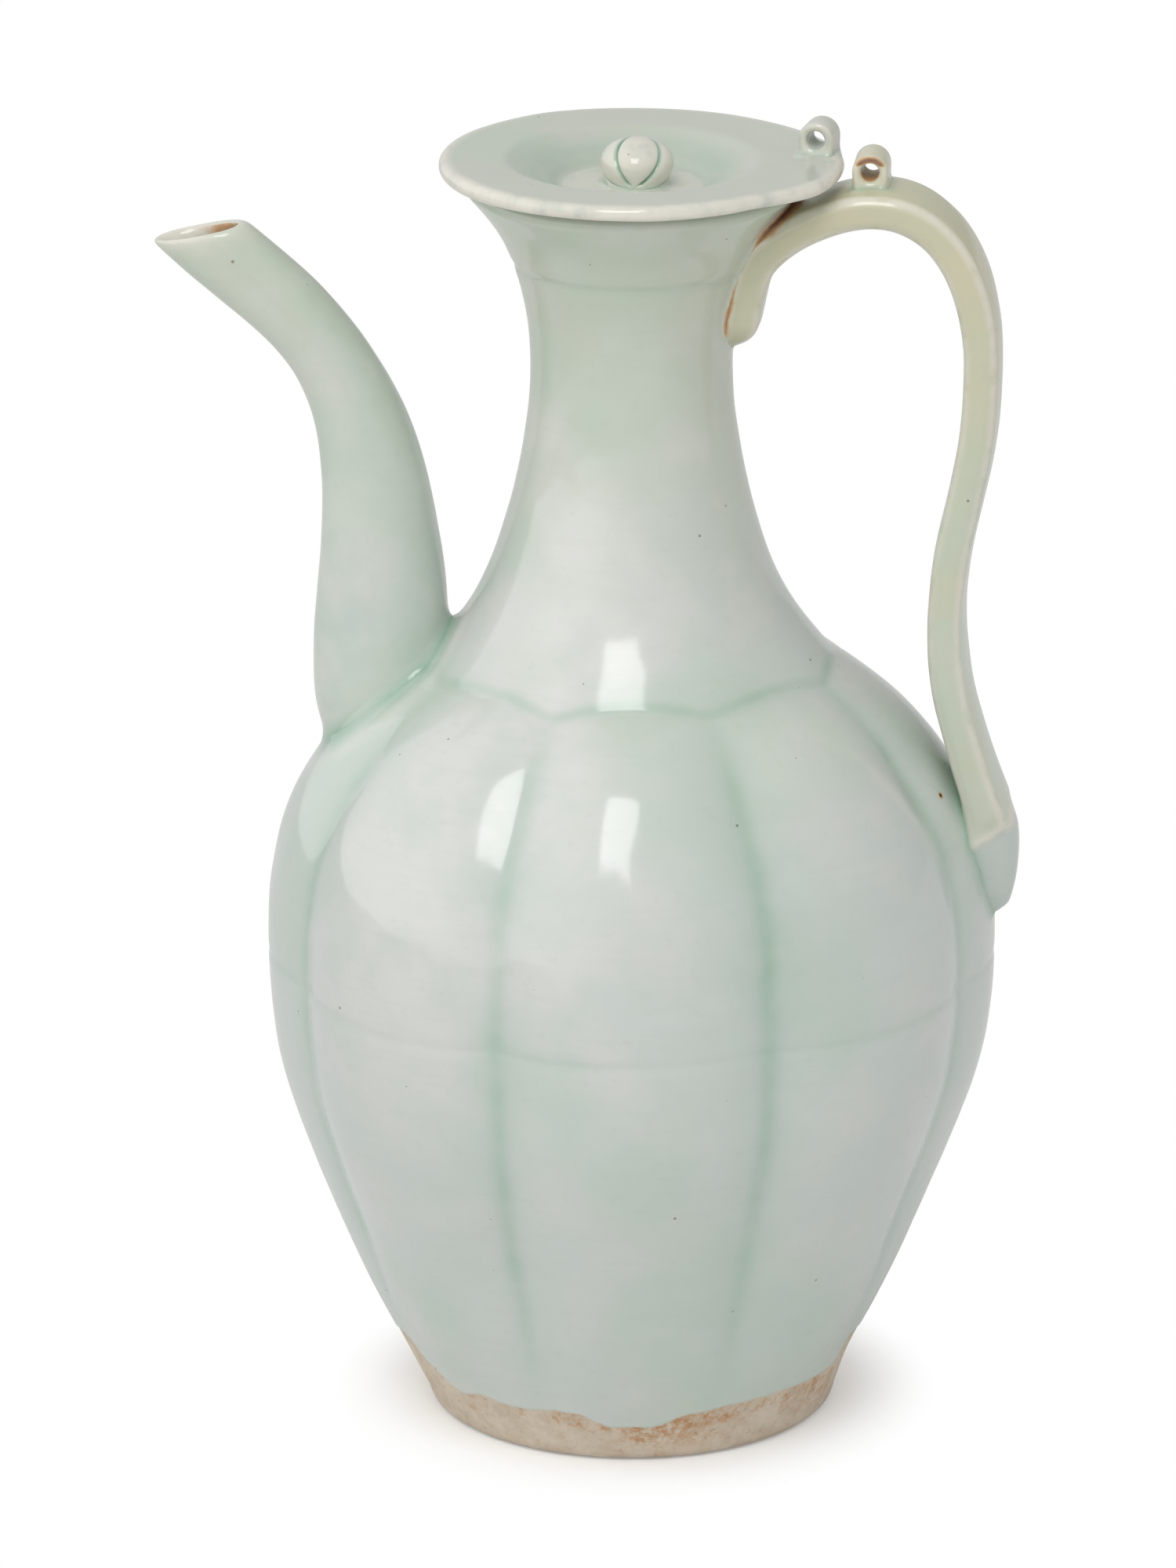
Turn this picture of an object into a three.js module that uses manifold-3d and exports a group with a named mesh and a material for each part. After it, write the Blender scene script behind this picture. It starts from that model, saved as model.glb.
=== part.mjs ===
// A lidded ewer of glazed porcelain: an eight-lobed body thrown in two halves, a trumpet neck,
// a long curved spout, a strap handle, and a saucer-shaped lid with a bud knob. Two small
// loops, one on the handle and one on the lid, take the cord that keeps the lid by the ewer.
// Millimetres, +Z up. The origin is the centre of the foot's underside, the handle points
// along +X and the spout along -X.
import * as THREE from 'three';
import { mergeVertices } from 'three/addons/utils/BufferGeometryUtils.js';
import Module from 'manifold-3d';

// Clearance between two pieces that the glaze or the seat brings together
const seamGap = 0.3;

// Body
const footRadius = 36.2;
const footEdgeRadius = 38;
const footEdgeHeight = 2.5;
const bellyRadius = 66.4;
const bellyHeight = 90;
const bellySeamHeight = 87;
const shoulderTopRadius = 30;
const shoulderTopHeight = 146.2;
const bodyWall = 3.2;
const baseThickness = 5;
const lobeCount = 8;
const lobeTurn = THREE.MathUtils.degToRad(6);
const lobeDepth = 2.3;
const lobeSharpness = 2.2;
const lobeFadeHeight = 4;
const lobeFullHeight = 46;
const lobeTopShare = 0.5;

// Neck
const neckRootRadius = 41;
const neckRootDepth = 9.2;
const waistRadius = 18.2;
const waistHeight = 196;
const mouthRadius = 30.2;
const mouthHeight = 232.5;
const neckWall = 2.8;
const lipTilt = THREE.MathUtils.degToRad(40);
const lineHeight = 217;
const lineDepth = 0.25;
const lineHalfWidth = 0.9;

// Spout: its path ends inside the shoulder and beyond the tip's cut, its section is an oval
const spoutRootOut = 38.5;
const spoutRootHeight = 124;
const spoutEndOut = 85.3;
const spoutEndHeight = 226.3;
const spoutRootHalf = 14;
const spoutRootHalfAcross = 12.8;
const spoutTipHalf = 6.7;
const spoutTipHalfAcross = 4.8;
const spoutWall = 2;
const spoutCutOut = 77.2;
const spoutCutHeight = 220.6;
const spoutCutTilt = THREE.MathUtils.degToRad(12);
const spoutHoleRadius = 5.5;
const spoutHoleHeight = 133;

// Handle
const handleReach = 63.3;
const handleTopDrop = 3.6;
const handleWidth = 16.7;
const handleThickness = 5.9;
const handleEdgeRadius = 1.4;
const handleCrown = 0.4;
const handleThinEdgeShare = 0.8;
const upperLapDrop = 22;
const upperLapLength = 8.5;
const lowerLapHeight = 121;
const lowerLapLength = 26;

// Cord loops
const loopRadius = 3.2;
const loopHoleRadius = 1.55;
const loopBevel = 0.5;
const handleLoopLength = 8.6;
const handleLoopOut = 43;
const handleLoopRise = 3.1;
const lidLoopLength = 6.2;
const lidLoopOut = 33.6;
const lidLoopRise = 3;
const lidLoopAngle = THREE.MathUtils.degToRad(10);
const lidLoopTwist = THREE.MathUtils.degToRad(-5);

// Lid, in its own frame with the seat on the mouth at height nought
const lidRadius = 34.7;
const lidEdgeThickness = 2.9;
const lidEdgeLift = 0.5;
const lidSeatRadius = 31;
const lidSeatInnerRadius = 24;
const lidTongueReach = 3.4;
const lidTongueAngle = THREE.MathUtils.degToRad(-8);
const lidTongueFlat = THREE.MathUtils.degToRad(8);
const lidTongueFrontSpread = THREE.MathUtils.degToRad(40);
const lidTongueBackSpread = THREE.MathUtils.degToRad(85);
const brinkRadius = 21.5;
const brinkDrop = 0.5;
const wellRadius = 13.4;
const wellSlopeWidth = 3.4;
const wellDepth = 5.1;
const wellFillet = 1.2;
const wellFloor = 2.5;
const flangeRadius = 17;
const flangeLength = 12;
const flangeWall = 2.4;

// Knob
const knobRadius = 6.65;
const knobHalfHeight = 4.4;
const knobRise = 4.1;
const knobFootRadius = 4.4;
const knobOffset = 0.9;
const knobLobes = 6;
const knobGrooveDepth = 0.5;
const knobGrooveSharpness = 4;
const knobTilt = THREE.MathUtils.degToRad(48);

// How finely the forms are faceted
const turnSteps = 48;
const bodyRows = 9;
const neckRows = 13;
const lipSteps = 4;
const pathSteps = 36;
const ovalSteps = 20;
const knobSteps = 24;
const halvings = 40;

// Outlines as shares of the way between two named ends: [how far up, how far out]
const lowerBodyShares = [
  [0, 0], [0.11, 0.148], [0.26, 0.38], [0.49, 0.674], [0.71, 0.907], [0.863, 0.982], [1, 1],
];
const shoulderShares = [[0.185, 0.986], [0.445, 0.885], [0.712, 0.617], [0.893, 0.286], [1, 0]];
const neckRiseShares = [[0, 1], [0.186, 0.625], [0.322, 0.41], [0.49, 0.24], [0.729, 0.084], [1, 0]];
const mouthFlareShares = [[0.41, 0.11], [0.76, 0.46], [1, 1]];
// The spout's path from root to end: [how far out, how far up, size, size across]
const spoutShares = [
  [0, 0, 0.89, 1], [0.112, 0.088, 1, 1], [0.154, 0.186, 0.78, 0.95], [0.152, 0.288, 0.7, 0.85],
  [0.158, 0.396, 0.53, 0.675], [0.182, 0.508, 0.36, 0.51], [0.244, 0.621, 0.18, 0.375],
  [0.346, 0.717, 0.03, 0.275], [0.49, 0.798, 0.01, 0.19], [0.652, 0.862, 0.04, 0.11],
  [0.845, 0.936, 0.05, 0.04], [1, 1, 0.03, 0],
];
// The handle's free run: [share of the reach, share of the rise above the lower lap]
const handleRunShares = [
  [0.367, 0.902], [0.463, 0.955], [0.577, 0.987], [0.679, 1], [0.79, 0.991], [0.889, 0.949],
  [0.957, 0.882], [0.992, 0.802], [1, 0.714], [0.989, 0.612], [0.957, 0.51], [0.918, 0.399],
  [0.902, 0.287], [0.918, 0.176], [0.957, 0.083],
];
// The laps: [share of the lap's length, lift off the wall, thickness, width]
const upperLapShares = [[1, 0.2, 0.6, 0.6], [0.5, 0.22, 0.85, 0.9], [0, 0.25, 0.92, 1]];
const lowerLapShares = [
  [0, 0.74, 1.05, 1], [0.33, 0.49, 1.2, 1.03], [0.65, 0.33, 1, 0.8], [0.89, 0.18, 0.68, 0.5],
  [1, 0.1, 0.3, 0.25],
];

const wasm = await Module();
wasm.setup();

const fullTurn = 2 * Math.PI;
const spread = (count) => Array.from({ length: count + 1 }, (unused, step) => step / count);
const onAxis = (height) => new THREE.Vector2(0, height);

// Joins rings of points into one closed skin, round a circuit or with a fan at each end.
function loft(rings, circuit) {
  const size = rings[0].length;
  const points = rings.flat();
  const index = [];
  const spans = circuit ? rings.length : rings.length - 1;
  for (let ring = 0; ring < spans; ring += 1) {
    const here = ring * size;
    const there = ((ring + 1) % rings.length) * size;
    for (let step = 0; step < size; step += 1) {
      const next = (step + 1) % size;
      index.push(here + step, there + step, there + next);
      index.push(here + step, there + next, here + next);
    }
  }
  const capped = circuit ? [] : [[rings[0], 0, true], [rings.at(-1), size * spans, false]];
  for (const [ring, start, first] of capped) {
    const sum = ring.reduce((total, point) => total.add(point), new THREE.Vector3());
    points.push(sum.divideScalar(size));
    for (let step = 0; step < size; step += 1) {
      const pair = [start + step, start + ((step + 1) % size)];
      index.push(points.length - 1, ...(first ? pair : pair.reverse()));
    }
  }
  const geometry = new THREE.BufferGeometry().setFromPoints(points);
  geometry.setIndex(index);
  return geometry;
}

// Turns a geometry into a solid that can be joined and cut.
function solid(geometry) {
  const bare = geometry.clone();
  bare.deleteAttribute('normal');
  bare.deleteAttribute('uv');
  const welded = mergeVertices(bare);
  const index = welded.getIndex().array;
  const kept = [];
  for (let first = 0; first < index.length; first += 3) {
    const [a, b, c] = index.slice(first, first + 3);
    if (a !== b && b !== c && c !== a) kept.push(a, b, c);
  }
  return new wasm.Manifold(new wasm.Mesh({
    numProp: 3,
    vertProperties: Float32Array.from(welded.getAttribute('position').array),
    triVerts: Uint32Array.from(kept),
  }));
}

// Gives a solid back as a named mesh.
function piece(name, body, material) {
  const made = body.getMesh();
  const geometry = new THREE.BufferGeometry();
  geometry.setAttribute('position', new THREE.BufferAttribute(made.vertProperties, 3));
  geometry.setIndex(new THREE.BufferAttribute(made.triVerts, 1));
  geometry.computeVertexNormals();
  const mesh = new THREE.Mesh(geometry, material);
  mesh.name = name;
  return mesh;
}

// A point at shares of the way between two corners of a (radius, height) rectangle
function between(from, to, rise, reach) {
  return new THREE.Vector2(
    THREE.MathUtils.lerp(from.x, to.x, reach),
    THREE.MathUtils.lerp(from.y, to.y, rise),
  );
}

// The share of a rising curve at which it reaches a height
function shareAt(curve, height) {
  let low = 0;
  let high = 1;
  for (let turn = 0; turn < halvings; turn += 1) {
    const middle = (low + high) / 2;
    if (curve.getPoint(middle).y < height) low = middle;
    else high = middle;
  }
  return low;
}

const radiusAt = (curve, height) => curve.getPoint(shareAt(curve, height)).x;

// A point of a rising curve, moved inwards along its normal
function inset(curve, share, distance) {
  const way = curve.getTangent(share);
  const inwards = new THREE.Vector2(-way.y, way.x);
  return curve.getPoint(share).add(inwards.multiplyScalar(distance));
}

// The lobes' crest line from the foot's edge over the belly to a point under the neck
function crestCurve() {
  const foot = new THREE.Vector2(footEdgeRadius, footEdgeHeight);
  const belly = new THREE.Vector2(bellyRadius, bellyHeight);
  const inner = new THREE.Vector2(shoulderTopRadius, bellyHeight);
  const outer = new THREE.Vector2(bellyRadius, shoulderTopHeight);
  return new THREE.SplineCurve([
    ...lowerBodyShares.map(([rise, reach]) => between(foot, belly, rise, reach)),
    ...shoulderShares.map(([rise, reach]) => between(inner, outer, rise, reach)),
  ]);
}

// The neck's outer line from under the shoulder over the waist to the lip
function neckCurve() {
  const root = new THREE.Vector2(waistRadius, shoulderTopHeight - neckRootDepth);
  const rootTop = new THREE.Vector2(neckRootRadius, waistHeight);
  const waist = new THREE.Vector2(waistRadius, waistHeight);
  const half = neckWall / 2;
  const lip = new THREE.Vector2(
    mouthRadius - half * (1 - Math.cos(lipTilt)),
    mouthHeight - half * (1 + Math.sin(lipTilt)),
  );
  return new THREE.SplineCurve([
    ...neckRiseShares.map(([rise, reach]) => between(root, rootTop, rise, reach)),
    ...mouthFlareShares.map(([rise, reach]) => between(waist, lip, rise, reach)),
  ]);
}

const crest = crestCurve();
const neckLine = neckCurve();

// Nought on the crest of a lobe, one in the groove beside it
function grooveShare(angle) {
  const turn = ((angle - lobeTurn) * lobeCount) / fullTurn;
  return (2 * Math.abs(turn - Math.round(turn))) ** lobeSharpness;
}

// The grooves fade out above the round foot and ease off towards the neck.
function grooveDepth(height) {
  const rise = THREE.MathUtils.smoothstep(height, lobeFadeHeight, lobeFullHeight);
  const fall = THREE.MathUtils.smoothstep(height, bellyHeight, shoulderTopHeight);
  return lobeDepth * rise * THREE.MathUtils.lerp(1, lobeTopShare, fall);
}

// A point of the lobed body's wall: distance nought is its outside
function bodyPoint(share, angle, distance) {
  const depth = grooveDepth(crest.getPoint(share).y) * grooveShare(angle);
  return inset(crest, share, depth + distance);
}

// The share at which the shoulder runs into the neck, both swollen by a clearance
function ringShare(angle, clearance) {
  let low = shareAt(crest, bellyHeight);
  let high = 1;
  for (let turn = 0; turn < halvings; turn += 1) {
    const middle = (low + high) / 2;
    const point = bodyPoint(middle, angle, -clearance);
    if (point.x > radiusAt(neckLine, point.y) + clearance) low = middle;
    else high = middle;
  }
  return low;
}

// Turns profiles, one for each direction round the axis, into a closed solid.
function turned(profileAt) {
  const rings = spread(turnSteps).slice(1).map((share) => {
    const angle = lobeTurn + share * fullTurn;
    return profileAt(angle).map((point) => new THREE.Vector3(
      point.x * Math.cos(angle),
      point.x * Math.sin(angle),
      point.y,
    ));
  });
  return solid(loft(rings, true));
}

// The lower half: foot, floor and wall up to the seam round the belly
function bodyLowerProfile(angle) {
  const top = shareAt(crest, bellySeamHeight - seamGap / 2);
  const floor = shareAt(crest, baseThickness);
  return [
    onAxis(0),
    new THREE.Vector2(footRadius, 0),
    ...spread(bodyRows).map((share) => bodyPoint(share * top, angle, 0)),
    ...spread(bodyRows).map((share) => {
      return bodyPoint(THREE.MathUtils.lerp(top, floor, share), angle, bodyWall);
    }),
    onAxis(baseThickness),
  ];
}

// The upper half: from the seam to the ring where the neck is luted on
function bodyUpperProfile(angle) {
  const low = shareAt(crest, bellySeamHeight + seamGap / 2);
  const ring = ringShare(angle, 0);
  const rows = spread(bodyRows).map((share) => THREE.MathUtils.lerp(low, ring, share));
  return [
    ...rows.map((share) => bodyPoint(share, angle, 0)),
    ...rows.reverse().map((share) => bodyPoint(share, angle, bodyWall)),
  ];
}

// The neck: a trumpet with a fine turned line below the mouth and a rounded lip
function neckProfile(angle) {
  const ring = ringShare(angle, 0);
  const step = crest.getTangent(ring).multiplyScalar(seamGap);
  const outerEnd = bodyPoint(ring, angle, 0).add(step);
  const innerEnd = bodyPoint(ring, angle, bodyWall).add(step);
  const start = shareAt(neckLine, outerEnd.y);
  const rows = spread(neckRows).slice(1).map((share) => THREE.MathUtils.lerp(start, 1, share));
  const line = [-1, 0, 1].map((side) => ({
    share: shareAt(neckLine, lineHeight + side * lineHalfWidth),
    depth: side === 0 ? lineDepth : 0,
  }));
  const outer = [...rows.map((share) => ({ share, depth: 0 })), ...line]
    .sort((a, b) => a.share - b.share)
    .map(({ share, depth }) => inset(neckLine, share, depth));
  const inner = rows.reverse().map((share) => inset(neckLine, share, neckWall));
  const middle = outer.at(-1).clone().lerp(inner[0], 0.5);
  const arm = outer.at(-1).clone().sub(middle);
  const lip = spread(lipSteps).slice(1, -1).map((share) => {
    return arm.clone().rotateAround(onAxis(0), share * Math.PI).add(middle);
  });
  return [outerEnd, ...outer, ...lip, ...inner, innerEnd];
}

// The space that body and neck take up together, swollen by a clearance
function vesselSpace(clearance) {
  const below = turned((angle) => {
    const ring = ringShare(angle, clearance);
    const points = spread(bodyRows * 2).map((share) => bodyPoint(share * ring, angle, -clearance));
    return [onAxis(points[0].y), ...points, onAxis(points.at(-1).y)];
  });
  const above = turned((angle) => {
    const foot = bodyPoint(ringShare(angle, 0), angle, -clearance);
    const start = shareAt(neckLine, foot.y);
    const points = spread(neckRows * 2).map((share) => {
      return inset(neckLine, THREE.MathUtils.lerp(start, 1, share), -clearance);
    });
    return [onAxis(foot.y), foot, ...points, onAxis(points.at(-1).y)];
  });
  return below.add(above);
}

// A solid of sections square to a path in the plane of spout and handle
function swept(path, sizes, section) {
  return solid(loft(spread(pathSteps).map((share) => {
    const centre = path.getPoint(share);
    const way = path.getTangent(share);
    return section(sizes.getPoint(share)).map((point) => new THREE.Vector3(
      centre.x + way.y * point.x,
      -point.y,
      centre.y - way.x * point.x,
    ));
  }), false));
}

function oval(half) {
  return spread(ovalSteps).slice(1).map((share) => new THREE.Vector2(
    half.x * Math.cos(share * fullTurn),
    half.y * Math.sin(share * fullTurn),
  ));
}

function spoutTube(wall) {
  const path = spoutShares.map(([out, rise]) => new THREE.Vector2(
    -THREE.MathUtils.lerp(spoutRootOut, spoutEndOut, out),
    THREE.MathUtils.lerp(spoutRootHeight, spoutEndHeight, rise),
  ));
  const sizes = spoutShares.map(([, , half, across]) => new THREE.Vector2(
    THREE.MathUtils.lerp(spoutTipHalf, spoutRootHalf, half) - wall,
    THREE.MathUtils.lerp(spoutTipHalfAcross, spoutRootHalfAcross, across) - wall,
  ));
  return swept(new THREE.SplineCurve(path), new THREE.SplineCurve(sizes), oval);
}

// What the nearly level cut takes off the spout's tip
function tipWaste() {
  const size = 4 * spoutRootHalf;
  const block = new THREE.BoxGeometry(size, size, size);
  block.translate(0, 0, size / 2);
  block.rotateY(-spoutCutTilt);
  block.translate(-spoutCutOut, 0, spoutCutHeight);
  return solid(block);
}

// The hole behind the spout, square to the shoulder's wall
function spoutHole() {
  const share = shareAt(crest, spoutHoleHeight);
  const point = crest.getPoint(share);
  const way = crest.getTangent(share);
  const length = 4 * bodyWall;
  const drill = new THREE.CylinderGeometry(spoutHoleRadius, spoutHoleRadius, length, ovalSteps);
  drill.rotateZ(Math.atan2(way.y, -way.x));
  drill.rotateX(Math.PI / 2);
  drill.translate(-point.x, 0, point.y);
  return solid(drill);
}

// The strap's section: rounded edges, and a low crown on its outer face
function strap(size) {
  const half = size.clone().multiplyScalar(0.5);
  const edge = Math.min(handleEdgeRadius, half.x * handleThinEdgeShare);
  const corners = [[1, 1], [-1, 1], [-1, -1], [1, -1]];
  const points = corners.flatMap(([side, across], corner) => spread(2).map((share) => {
    const angle = ((corner + share) * Math.PI) / 2;
    return new THREE.Vector2(
      side * (half.x - edge) + edge * Math.cos(angle),
      across * (half.y - edge) + edge * Math.sin(angle),
    );
  }));
  points.splice(points.length / 2, 0, new THREE.Vector2(-half.x - handleCrown, 0));
  return points;
}

// A point of a lap: its centre lies at a share of the strap's thickness off the wall.
function lapPoint(curve, top, length, [share, lift]) {
  const height = top - share * length;
  return new THREE.Vector2(radiusAt(curve, height) + lift * handleThickness, height);
}

function handleBlank() {
  const path = [
    ...upperLapShares.map((row) => {
      return lapPoint(neckLine, mouthHeight - upperLapDrop, upperLapLength, row);
    }),
    ...handleRunShares.map(([reach, rise]) => new THREE.Vector2(
      handleReach * reach,
      THREE.MathUtils.lerp(lowerLapHeight, mouthHeight - handleTopDrop, rise),
    )),
    ...lowerLapShares.map((row) => lapPoint(crest, lowerLapHeight, lowerLapLength, row)),
  ];
  const full = handleRunShares.map(() => [0, 0, 1, 1]);
  const sizes = [...upperLapShares, ...full, ...lowerLapShares].map(([, , thickness, width]) => {
    return new THREE.Vector2(handleThickness * thickness, handleWidth * width);
  });
  return swept(new THREE.SplineCurve(path), new THREE.SplineCurve(sizes), strap);
}

// A cord loop: an arch with a round hole along Y, centred on its hole, with a long foot
function loop(length, footDepth) {
  const arch = new THREE.Shape();
  arch.moveTo(loopRadius, -footDepth);
  arch.lineTo(loopRadius, 0);
  arch.absarc(0, 0, loopRadius, 0, Math.PI, false);
  arch.lineTo(-loopRadius, -footDepth);
  arch.closePath();
  arch.holes.push(new THREE.Path().absarc(0, 0, loopHoleRadius, 0, fullTurn, true));
  const geometry = new THREE.ExtrudeGeometry(arch, {
    depth: length - 2 * loopBevel,
    curveSegments: 2 * lipSteps,
    bevelThickness: loopBevel,
    bevelSize: loopBevel,
    bevelOffset: -loopBevel,
    bevelSegments: 1,
  });
  geometry.translate(0, 0, loopBevel - length / 2);
  geometry.rotateX(Math.PI / 2);
  return solid(geometry);
}

// The lid's edge runs out into a broad tongue towards the handle, steeper on its front side.
function lidEdgeRadius(angle) {
  const away = angle - lidTongueAngle;
  const turn = Math.atan2(Math.sin(away), Math.cos(away));
  const spreadAngle = turn < 0 ? lidTongueFrontSpread : lidTongueBackSpread;
  const fall = THREE.MathUtils.smoothstep(Math.abs(turn), lidTongueFlat, spreadAngle);
  return lidRadius + lidTongueReach * (1 - fall);
}

const lidTop = lidEdgeLift + lidEdgeThickness;

function lidProfile(angle) {
  const half = lidEdgeThickness / 2;
  const edge = new THREE.Vector2(lidEdgeRadius(angle) - half, lidTop - half);
  const rim = spread(2 * lipSteps).map((share) => new THREE.Vector2(
    edge.x + half * Math.sin(share * Math.PI),
    edge.y - half * Math.cos(share * Math.PI),
  ));
  const floor = lidTop - wellDepth;
  const under = floor - wellFloor;
  return [
    onAxis(under),
    new THREE.Vector2(flangeRadius - flangeWall, under),
    new THREE.Vector2(flangeRadius - flangeWall, under - flangeLength),
    new THREE.Vector2(flangeRadius, under - flangeLength),
    new THREE.Vector2(flangeRadius, floor),
    new THREE.Vector2(lidSeatInnerRadius, 0),
    new THREE.Vector2(lidSeatRadius, 0),
    ...rim,
    new THREE.Vector2(brinkRadius, lidTop - brinkDrop),
    new THREE.Vector2(wellRadius + wellSlopeWidth, lidTop - wellFillet),
    new THREE.Vector2(wellRadius + wellFillet, floor + wellFillet),
    new THREE.Vector2(wellRadius, floor),
    onAxis(floor),
  ];
}

// The knob: a bud of six lobes whose grooves meet low on its front, on a short foot
function knobBlank() {
  const ball = new THREE.SphereGeometry(1, knobSteps, knobSteps / 2);
  const place = ball.getAttribute('position');
  const point = new THREE.Vector3();
  for (let vertex = 0; vertex < place.count; vertex += 1) {
    point.fromBufferAttribute(place, vertex);
    const turn = (Math.atan2(point.z, point.x) * knobLobes) / fullTurn + 0.5;
    const groove = (2 * Math.abs(turn - Math.round(turn))) ** knobGrooveSharpness;
    const girth = Math.hypot(point.x, point.z);
    point.multiplyScalar(1 - (groove * girth * knobGrooveDepth) / knobRadius);
    place.setXYZ(vertex, point.x, point.y, point.z);
  }
  ball.rotateX(knobTilt);
  ball.scale(knobRadius, knobRadius, knobHalfHeight);
  const length = knobRise + wellFloor / 2;
  const foot = new THREE.CylinderGeometry(knobFootRadius, knobFootRadius, length, knobSteps);
  foot.rotateX(Math.PI / 2);
  foot.translate(0, 0, -length / 2);
  return solid(ball).add(solid(foot));
}

function porcelain(colour, roughness) {
  return new THREE.MeshStandardMaterial({ color: colour, roughness, metalness: 0 });
}

function ewer() {
  const space = vesselSpace(seamGap);
  const handle = handleBlank().subtract(space);
  const spout = spoutTube(0).subtract(spoutTube(spoutWall)).subtract(tipWaste()).subtract(space);
  const group = new THREE.Group();
  group.add(
    piece('body_lower', turned(bodyLowerProfile), porcelain(0xc5d3c9, 0.16)),
    piece('body_upper', turned(bodyUpperProfile).subtract(spoutHole()), porcelain(0xc8d5cc, 0.14)),
    piece('neck', turned(neckProfile), porcelain(0xc3cfc4, 0.14)),
    piece('spout', spout, porcelain(0xc1cdc0, 0.18)),
    piece('handle', handle, porcelain(0xc9cdb9, 0.2)),
  );
  const seat = mouthHeight - handleTopDrop + handleThickness / 2 + handleCrown;
  const place = new THREE.Vector3(handleLoopOut, 0, seat + handleLoopRise);
  const strapUnder = handle.translate([-place.x, -place.y, seamGap - place.z]);
  const cordLoop = loop(handleLoopLength, handleLoopRise + handleThickness / 2).subtract(strapUnder);
  const mesh = piece('handle_loop', cordLoop, porcelain(0xc6bfa8, 0.3));
  mesh.position.copy(place);
  group.add(mesh);
  return group;
}

function cover() {
  const lid = turned(lidProfile);
  const group = new THREE.Group();
  group.add(piece('lid', lid, porcelain(0xc9d2c6, 0.16)));

  const knobPlace = new THREE.Vector3(knobOffset, 0, lidTop - wellDepth + knobRise);
  const floor = lid.translate([-knobPlace.x, -knobPlace.y, seamGap - knobPlace.z]);
  const knob = piece('lid_knob', knobBlank().subtract(floor), porcelain(0xced3c8, 0.15));
  knob.position.copy(knobPlace);
  group.add(knob);

  const loopPlace = new THREE.Vector3(lidLoopOut, 0, lidTop + lidLoopRise)
    .applyAxisAngle(new THREE.Vector3(0, 0, 1), lidLoopAngle);
  const under = lid.translate([-loopPlace.x, -loopPlace.y, seamGap - loopPlace.z])
    .rotate([0, 0, -THREE.MathUtils.radToDeg(lidLoopTwist)]);
  const cordLoop = loop(lidLoopLength, lidLoopRise + lidEdgeThickness / 2).subtract(under);
  const mesh = piece('lid_loop', cordLoop, porcelain(0xcfcfc0, 0.25));
  mesh.position.copy(loopPlace);
  mesh.rotation.z = lidLoopTwist;
  group.add(mesh);

  group.position.z = mouthHeight + seamGap;
  return group;
}

const object = new THREE.Group();
object.add(ewer(), cover());

export default object;
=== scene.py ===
import math

import bpy
import numpy as np
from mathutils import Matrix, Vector
from mathutils.bvhtree import BVHTree


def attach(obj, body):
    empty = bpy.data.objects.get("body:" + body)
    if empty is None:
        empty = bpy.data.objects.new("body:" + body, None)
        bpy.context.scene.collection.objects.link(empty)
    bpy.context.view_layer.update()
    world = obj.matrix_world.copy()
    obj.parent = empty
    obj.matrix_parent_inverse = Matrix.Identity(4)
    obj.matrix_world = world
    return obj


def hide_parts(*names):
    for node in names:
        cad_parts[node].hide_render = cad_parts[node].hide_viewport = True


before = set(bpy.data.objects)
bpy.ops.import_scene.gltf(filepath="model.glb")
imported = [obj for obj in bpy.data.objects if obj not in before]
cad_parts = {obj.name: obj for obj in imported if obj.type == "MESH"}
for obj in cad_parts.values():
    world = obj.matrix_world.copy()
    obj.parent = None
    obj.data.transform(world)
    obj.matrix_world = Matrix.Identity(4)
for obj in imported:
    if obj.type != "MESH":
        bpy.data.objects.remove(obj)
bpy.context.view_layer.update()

# A lidded ewer of glazed porcelain. Each solid of the frame gets a finer skin of its own, with
# the softness, hollows and glaze of the real thing. Lengths are millimetres, as in the solids,
# and turn into metres when a mesh is made. The handle points along +X, the spout along -X.
MM = 0.001

# Body
FOOT_RADIUS, FOOT_EDGE_RADIUS, FOOT_EDGE_HEIGHT = 36.2, 38.0, 2.5
BELLY_RADIUS, BELLY_HEIGHT, SEAM_HEIGHT = 66.4, 90.0, 87.0
SHOULDER_TOP_RADIUS, SHOULDER_TOP_HEIGHT = 30.0, 146.2
BODY_WALL, BASE_THICKNESS = 3.2, 5.0
LOBE_COUNT, LOBE_TURN, LOBE_DEPTH, LOBE_SHARPNESS = 8, math.radians(6), 2.3, 2.2
LOBE_FADE_HEIGHT, LOBE_FULL_HEIGHT, LOBE_TOP_SHARE = 4.0, 46.0, 0.25
LOBE_HIGH_FADE, LOBE_TOP_HEIGHT = 127.0, 143.0
# Hand work: how deep each groove is and how full each lobe, from the handle round past the back
GROOVE_SHARES = [1.25, 1.1, 1.3, 1.15, 1.25, 1.5, 1.15, 1.25]
LOBE_FULLNESS = [0.0, 0.2, 0.1, 0.3, 0.1, 1.2, 0.5, 0.2]
# How much steeper the front lobes are where the shoulder starts
LOBE_STEEPNESS = [0.0, 0.0, 0.0, 0.0, 0.0, 0.35, 0.9, 0.4]
STEEPNESS_HEIGHT, STEEPNESS_SPREAD = 129.0, 13.0

# Neck
NECK_ROOT_RADIUS, NECK_ROOT_DEPTH = 41.0, 9.2
WAIST_RADIUS, WAIST_HEIGHT = 18.2, 196.0
MOUTH_RADIUS, MOUTH_HEIGHT, NECK_WALL, LIP_TILT = 30.2, 232.5, 2.8, math.radians(40)
LINE_HEIGHT, LINE_DEPTH, LINE_HALF_WIDTH = 217.0, 0.25, 0.9

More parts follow.
